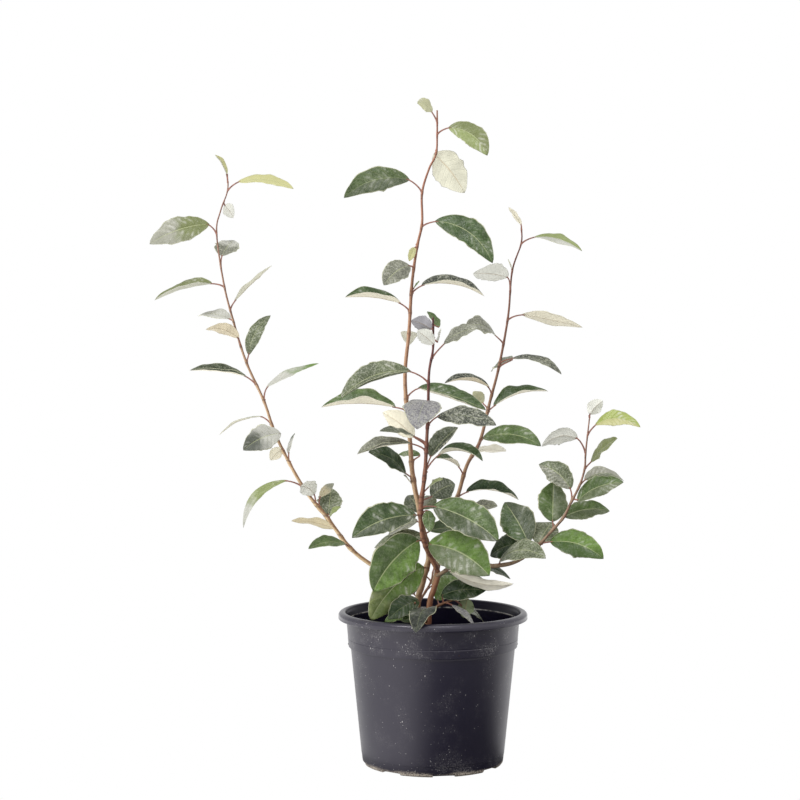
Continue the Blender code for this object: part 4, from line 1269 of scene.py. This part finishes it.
def pot_profile():
    """Up the inside from the floor's centre, over the rolled lip, and down the outside to the centre."""
    collar_foot = COLLAR_FOOT_HEIGHT
    wall_top = COLLAR_FOOT_RADIUS - STEP_IN
    lip_foot = RIM_HEIGHT - LIP_HEIGHT
    crown = MOUTH_RADIUS + LIP_CROWN
    groove = RIM_HEIGHT - GROOVE_DROP
    spread = COLLAR_TOP_RADIUS - COLLAR_FOOT_RADIUS
    at_groove = COLLAR_FOOT_RADIUS + spread * (groove - collar_foot) / (lip_foot - collar_foot)
    inside = [
        (0.0, WALL),
        (FOOT_RADIUS - FOOT_ROUNDING - WALL, WALL),
        (FOOT_RADIUS - WALL, FOOT_CORNER_HEIGHT),
        (wall_top - WALL, collar_foot - STEP_HEIGHT),
        (COLLAR_FOOT_RADIUS - WALL, collar_foot + STEP_HEIGHT / 2),
        (COLLAR_TOP_RADIUS - WALL, LEDGE_HEIGHT - STEP_HEIGHT),
        (COLLAR_TOP_RADIUS - WALL + GROOVE_DEPTH, LEDGE_HEIGHT),
        (MOUTH_RADIUS - LIP_ROUNDING, RIM_HEIGHT - MOUTH_DEPTH / 2),
    ]
    lip = [
        *arc((crown, RIM_HEIGHT - LIP_INNER_DROP), (LIP_CROWN, LIP_INNER_DROP), 180, 90, 8),
        *arc((crown, RIM_HEIGHT - LIP_OUTER_DROP), (RIM_RADIUS - crown, LIP_OUTER_DROP), 90, 0, 12)[1:],
        *arc((RIM_RADIUS - LIP_ROUNDING, lip_foot + LIP_ROUNDING), (LIP_ROUNDING, LIP_ROUNDING), 0, -90, 5),
        (RIM_RADIUS - 2.5 * LIP_ROUNDING, lip_foot),
        (RIM_RADIUS - LIP_WEB, RIM_HEIGHT - LIP_WEB),
        (COLLAR_TOP_RADIUS + GROOVE_DEPTH, lip_foot + LIP_ROUNDING),
        (COLLAR_TOP_RADIUS, lip_foot),
    ]
    step = (GROOVE_DEPTH, GROOVE_DEPTH)
    collar = [
        (at_groove, groove + 2 * GROOVE_DEPTH),
        (at_groove - GROOVE_DEPTH, groove),
        (at_groove, groove - 2 * GROOVE_DEPTH),
        *arc((COLLAR_FOOT_RADIUS - GROOVE_DEPTH, collar_foot + GROOVE_DEPTH), step, 0, -90, 3),
        *arc((wall_top + GROOVE_DEPTH, collar_foot - GROOVE_DEPTH), step, 90, 180, 3),
        (wall_top, collar_foot - STEP_HEIGHT),
    ]
    foot = [
        (FOOT_RADIUS + GROOVE_DEPTH / 2, FOOT_CORNER_HEIGHT + GROOVE_DEPTH),
        (FOOT_RADIUS - GROOVE_DEPTH / 2, FOOT_CORNER_HEIGHT),
        (FOOT_RADIUS - FOOT_ROUNDING / 3, 0.4 * FOOT_CORNER_HEIGHT),
        (FOOT_RADIUS - FOOT_ROUNDING / 2, 0.15 * FOOT_CORNER_HEIGHT),
        (FOOT_RADIUS - FOOT_ROUNDING, 0.0),
        (0.0, 0.0),
    ]
    return inside + lip + collar + foot


def plastic_outside():
    """Thin black moulded plastic: satin, with turning marks, dust, and stain round the foot."""
    tree = new_look("black_moulded_plastic")
    place = tree.place()
    up = tree.part(place, 2)
    lip = up.between(RIM_HEIGHT - LIP_HEIGHT, RIM_HEIGHT - LIP_HEIGHT / 2)
    collar = up.between(COLLAR_FOOT_HEIGHT, COLLAR_FOOT_HEIGHT + STEP_HEIGHT) - lip
    foot = 1 - up.between(0.0, FOOT_DUST_HEIGHT)
    film = tree.noise(place, PLASTIC_GRAINS[0], 4, 0.6)
    drifts = tree.noise(place, PLASTIC_GRAINS[1], 3, 0.6).between(0.45, 0.7)
    fine = tree.noise(place, PLASTIC_GRAINS[2])
    rings = tree.noise(tree.place((0.12, 0.12, 1)), PLASTIC_GRAINS[3])
    dusty = drifts * (collar * 0.5 + foot * 0.6 + 0.2)
    colour = tree.mix(dusty * fine.between(0.4, 0.7) * 0.22, BLACK_PLASTIC, DUST_AND_HIGHLIGHT)
    for scale, size, stretched in SPECKS:
        spread = tree.place(stretched)
        near = tree.spots(spread, scale, "Distance")
        lot = tree.part(tree.spots(spread, scale, "Color"), 0)
        more = drifts * (collar * 0.35 + 0.18) + foot * 0.3
        speck = (1 - near.between(size * 0.4, size)) * (lot + more).between(0.95, 1.0)
        colour = tree.mix(speck * 0.7, colour, DUST_AND_HIGHLIGHT)
    stain = (1 - (up + (film - 0.5) * 0.008).between(*STAIN_HEIGHTS)) * fine.between(0.3, 0.6)
    colour = tree.mix(stain * 0.8, colour, FOOT_STAIN)
    height = fine * 0.3 + rings * 0.6
    roughness = 0.36 + film * 0.12 + stain * 0.3 - lip * 0.14
    normal = tree.bump(height, *PLASTIC_BUMP)
    shine = {"Specular_IOR_Level": 0.6, "Specular_Tint": PLASTIC_SHINE}
    return painted(tree, Base_Color=colour, Roughness=roughness, Normal=normal, **shine)


def plastic_inside():
    """The same plastic where it faces the compost: near black, with a pale band on its ledge as a painted
    highlight.
    """
    tree = new_look("black_plastic_inside")
    place = tree.place()
    up = tree.part(place, 2)
    film = tree.noise(place, INSIDE_GRAIN, 3, 0.6)
    below = up.between(LEDGE_HEIGHT - STEP_HEIGHT / 2, LEDGE_HEIGHT)
    above = up.between(LEDGE_HEIGHT, LEDGE_HEIGHT + STEP_HEIGHT / 2)
    # Painted highlight: a pale band round the ledge, in the dust's colour
    colour = tree.mix((below - above) * film.between(0.3, 0.6) * 0.6, BLACK_PLASTIC, DUST_AND_HIGHLIGHT)
    normal = tree.bump(film, *INSIDE_BUMP)
    return painted(tree, Base_Color=colour, Normal=normal, Roughness=0.3, Specular_IOR_Level=0.12)


def drain_cutters():
    """Blocks across the foot of the wall, where the drain notches are cut, as one mesh."""
    deep, wide, high = DRAIN_SIZE
    reach = FOOT_RADIUS - FOOT_ROUNDING - LIP_ROUNDING
    corners = []
    faces = []
    for k in range(DRAIN_COUNT):
        angle = DRAIN_TURN - math.pi / 2 + k * math.tau / DRAIN_COUNT
        out = Vector((math.cos(angle), math.sin(angle), 0))
        side = Vector((-out.y, out.x, 0))
        first = len(corners)
        for z in (-high, high):
            for a, b in ((-1, -1), (1, -1), (1, 1), (-1, 1)):
                corners.append(out * (reach + a * deep / 2) + side * (b * wide / 2) + Vector((0, 0, z)))
        for face in ((3, 2, 1, 0), (4, 5, 6, 7), (0, 1, 5, 4), (1, 2, 6, 5), (2, 3, 7, 6), (3, 0, 4, 7)):
            faces.append([first + each for each in face])
    return mesh_object("drain_cutters", corners, faces, smooth=False)


def make_pot():
    pot = turned("pot_shell", held(pot_profile(), HOLD), POT_STEPS)
    cutters = drain_cutters()
    cut = pot.modifiers.new("drains", "BOOLEAN")
    cut.operation = "DIFFERENCE"
    cut.solver = "EXACT"
    cut.object = cutters
    pot = applied(pot)
    bpy.data.objects.remove(cutters)
    pot.data.materials.clear()
    pot.data.materials.append(plastic_outside())
    pot.data.materials.append(plastic_inside())
    for face in pot.data.polygons:
        inwards = face.normal.dot(Vector((face.center.x, face.center.y, 0)).normalized()) < -HOLLOW_TILT
        on_floor = face.normal.z > 0 and face.center.z < COMPOST_HEIGHT
        face.material_index = 1 if inwards or on_floor else 0
        face.use_smooth = True
    pot.data.set_sharp_from_angle(angle=SHARP_ANGLE)
    shown(pot, "pot_plastic", "pot")


def compost_look():
    """Peat and bark crumbs: dark, with brown bits, a few pale ones and a fine dark grain."""
    tree = new_look("peat_and_bark")
    place = tree.place()
    lot = tree.part(tree.spots(place, COMPOST_GRAINS[0], "Color"), 0)
    fine = tree.noise(place, COMPOST_GRAINS[1], 3, 0.7)
    dark, brown, pale = COMPOST_TONES
    colour = tree.coats(dark, (
        (lot.between(0.25, 0.8), brown),
        (lot.between(0.93, 0.99), pale),
        (fine.between(0.4, 0.7) * 0.5, dark),
    ))
    normal = tree.bump(fine, *COMPOST_BUMP)
    return painted(tree, Base_Color=colour, Normal=normal, Roughness=0.92, Specular_IOR_Level=0.2)


def crumb_tree():
    """Geometry nodes that scatter crumbs and flat chips over the compost's top, turned at random."""
    inputs = {"Ground": "Geometry", "Crumbs": "Float", "Chips": "Float", "Lowest": "Float", "Seed": "Int"}
    tree, given = node_group("crumbs_over_compost", {**inputs, "Look": "Material"}, "Compost")
    ground, crumbs, chips, lowest, seed, paint = given
    here = tree.add("GeometryNodeInputPosition")
    up = tree.part(here, 2)
    on_top = up.sum("GREATER_THAN", up, lowest)
    ball = tree.add("GeometryNodeMeshIcoSphere", {"Radius": MM, "Subdivisions": 2})

    def drawn(low, high, lot):
        sockets = {0: low, 1: high, "Seed": seed + lot}
        return tree.add("FunctionNodeRandomValue", sockets, data_type="FLOAT_VECTOR")

    everything = tree.tree.nodes.new("GeometryNodeJoinGeometry")
    tree.tree.links.new(ground.socket, everything.inputs[0])
    for density, sizes in ((crumbs, CRUMB_SIZES), (chips, CHIP_SIZES)):
        sockets = {"Mesh": ground, "Selection": on_top, "Density": density, "Seed": seed}
        points = tree.add("GeometryNodeDistributePointsOnFaces", sockets)
        turn = drawn((0.0, 0.0, 0.0), (math.tau, math.tau, math.tau), 1.0)
        sockets = {"Points": points, "Instance": ball, "Rotation": turn, "Scale": drawn(*sizes, 2.0)}
        bits = tree.add("GeometryNodeInstanceOnPoints", sockets)
        tree.tree.links.new(bits.socket, everything.inputs[0])
    lump = (tree.noise(here, LUMP_GRAIN) - 0.5) * LUMP_HEIGHT
    solid = real(tree, Value(tree, everything.outputs[0]))
    return given_out(tree, raised(tree, solid, lump), paint)


def make_compost():
    """The compost with a low mound round the stems, and its crumbs."""
    inset = WALL + WALL_CLEARANCE
    top_radius = COLLAR_FOOT_RADIUS - inset
    mound = STEM_FOOT * MM - GAP
    profile = [
        (0.0, WALL + GAP),
        (FOOT_RADIUS - FOOT_ROUNDING - inset, WALL + GAP),
        (FOOT_RADIUS - inset, FOOT_CORNER_HEIGHT),
        (top_radius - STEP_IN, COLLAR_FOOT_HEIGHT - STEP_HEIGHT),
        (top_radius, COLLAR_FOOT_HEIGHT + STEP_HEIGHT / 2),
        (top_radius, COMPOST_HEIGHT - 2 * LIP_ROUNDING),
    ]
    for k in range(1, MOUND_STEPS):
        radius = top_radius * (1 - k / MOUND_STEPS)
        share = max(0.0, min(1.0, (MOUND_FOOT_RADIUS - radius) / (MOUND_FOOT_RADIUS - MOUND_RADIUS)))
        profile.append((radius, COMPOST_HEIGHT + (mound - COMPOST_HEIGHT) * share * share * (3 - 2 * share)))
    profile.append((0.0, mound))
    profile.reverse()
    ground = turned("compost_surface", profile, COMPOST_STEPS)
    values = {"Crumbs": CRUMBS_PER_AREA, "Chips": CHIPS_PER_AREA, "Seed": CRUMB_SEED}
    values |= {"Lowest": COMPOST_HEIGHT - 3 * LIP_ROUNDING, "Look": compost_look()}
    shown(with_nodes(ground, crumb_tree(), values), "compost", "compost")


def make_camera():
    camera = bpy.data.cameras.new("photograph")
    camera.lens = LENS
    camera.sensor_width = SENSOR
    ob = in_scene("photograph", camera)
    ob.location = EYE
    ob.rotation_euler = (math.pi / 2 - EYE_DROP, 0, 0)
    bpy.context.scene.camera = ob


def soft_box(name, place, side, power):
    light = bpy.data.lights.new(name, "AREA")
    light.shape = "RECTANGLE"
    light.size = side
    light.size_y = side
    light.energy = power
    ob = in_scene(name, light)
    ob.visible_camera = False
    ob.location = place
    ob.rotation_euler = (Vector(LIGHT_AIM) - Vector(place)).to_track_quat("-Z", "Y").to_euler()


def floor_glow(tree):
    """How brightly the floor lights the plant from each place on it."""
    place = tree.add("ShaderNodeTexCoord", output="Object")
    way = tree.vector("NORMALIZE", {0: place})
    off = tree.vector("LENGTH", {0: place}, "Value")
    dark = tree.vector("DOT_PRODUCT", {0: way, 1: DARK_WAY}, "Value")
    bright = tree.vector("DOT_PRODUCT", {0: way, 1: BRIGHT_WAY}, "Value")
    glow = FLOOR_GLOW + (FLOOR_DARK - FLOOR_GLOW) * dark.between(*DARK_EDGE) * (1 - off.between(*DARK_REACH))
    glow = glow * (1 + bright.between(*BRIGHT_EDGE) * BRIGHT_MORE)
    glow = glow * (NEAR_GLOW + (1 - NEAR_GLOW) * off.between(*NEAR_FOOT))
    return glow * (1 + (FAR_GLOW - 1) * off.between(*FAR_OFF))


def make_studio():
    """A bright white sweep all round the plant, and two soft boxes above it."""
    world = bpy.data.worlds.new("studio")
    world.use_nodes = True
    bpy.context.scene.world = world
    tree = Tree(world.node_tree)
    ray = tree.add("ShaderNodeLightPath", output="Is Camera Ray")
    way = tree.add("ShaderNodeTexCoord", output="Generated")
    behind = tree.part(way, 1).between(*SKY_TURN)
    sky = tree.mix(behind, shaded(WHITE, SKY_FRONT), shaded(WHITE, SKY_BACK))
    sky = tree.mix(ray, sky, WHITE)
    shade = world.node_tree.nodes["Background"]
    world.node_tree.links.new(sky.socket, shade.inputs["Color"])
    half = FLOOR_SIZE / 2
    corners = [(-half, -half, 0), (half, -half, 0), (half, half, 0), (-half, half, 0)]
    floor = mesh_object("floor", corners, [(0, 1, 2, 3)], [floor_look()], smooth=False)
    for name, box in SOFT_BOXES.items():
        soft_box(name, *box)


def floor_look():
    """White where it is seen, as under a photographer's bright sweep, and its own glow elsewhere."""
    tree = new_look("white_sweep")
    tree.tree.nodes.clear()
    white = tree.add("ShaderNodeEmission", {"Color": WHITE, "Strength": 1.0})
    glow = tree.add("ShaderNodeEmission", {"Color": WHITE, "Strength": floor_glow(tree)})
    seen = tree.add("ShaderNodeLightPath", output="Is Camera Ray")
    both = tree.add("ShaderNodeMixShader", {0: seen, 1: glow, 2: white})
    tree.add("ShaderNodeOutputMaterial", {"Surface": both}, None)
    return tree.look


def main():
    bpy.context.scene.view_settings.view_transform = "Standard"
    make_camera()
    make_studio()
    make_pot()
    make_compost()
    make_shrub()


main()
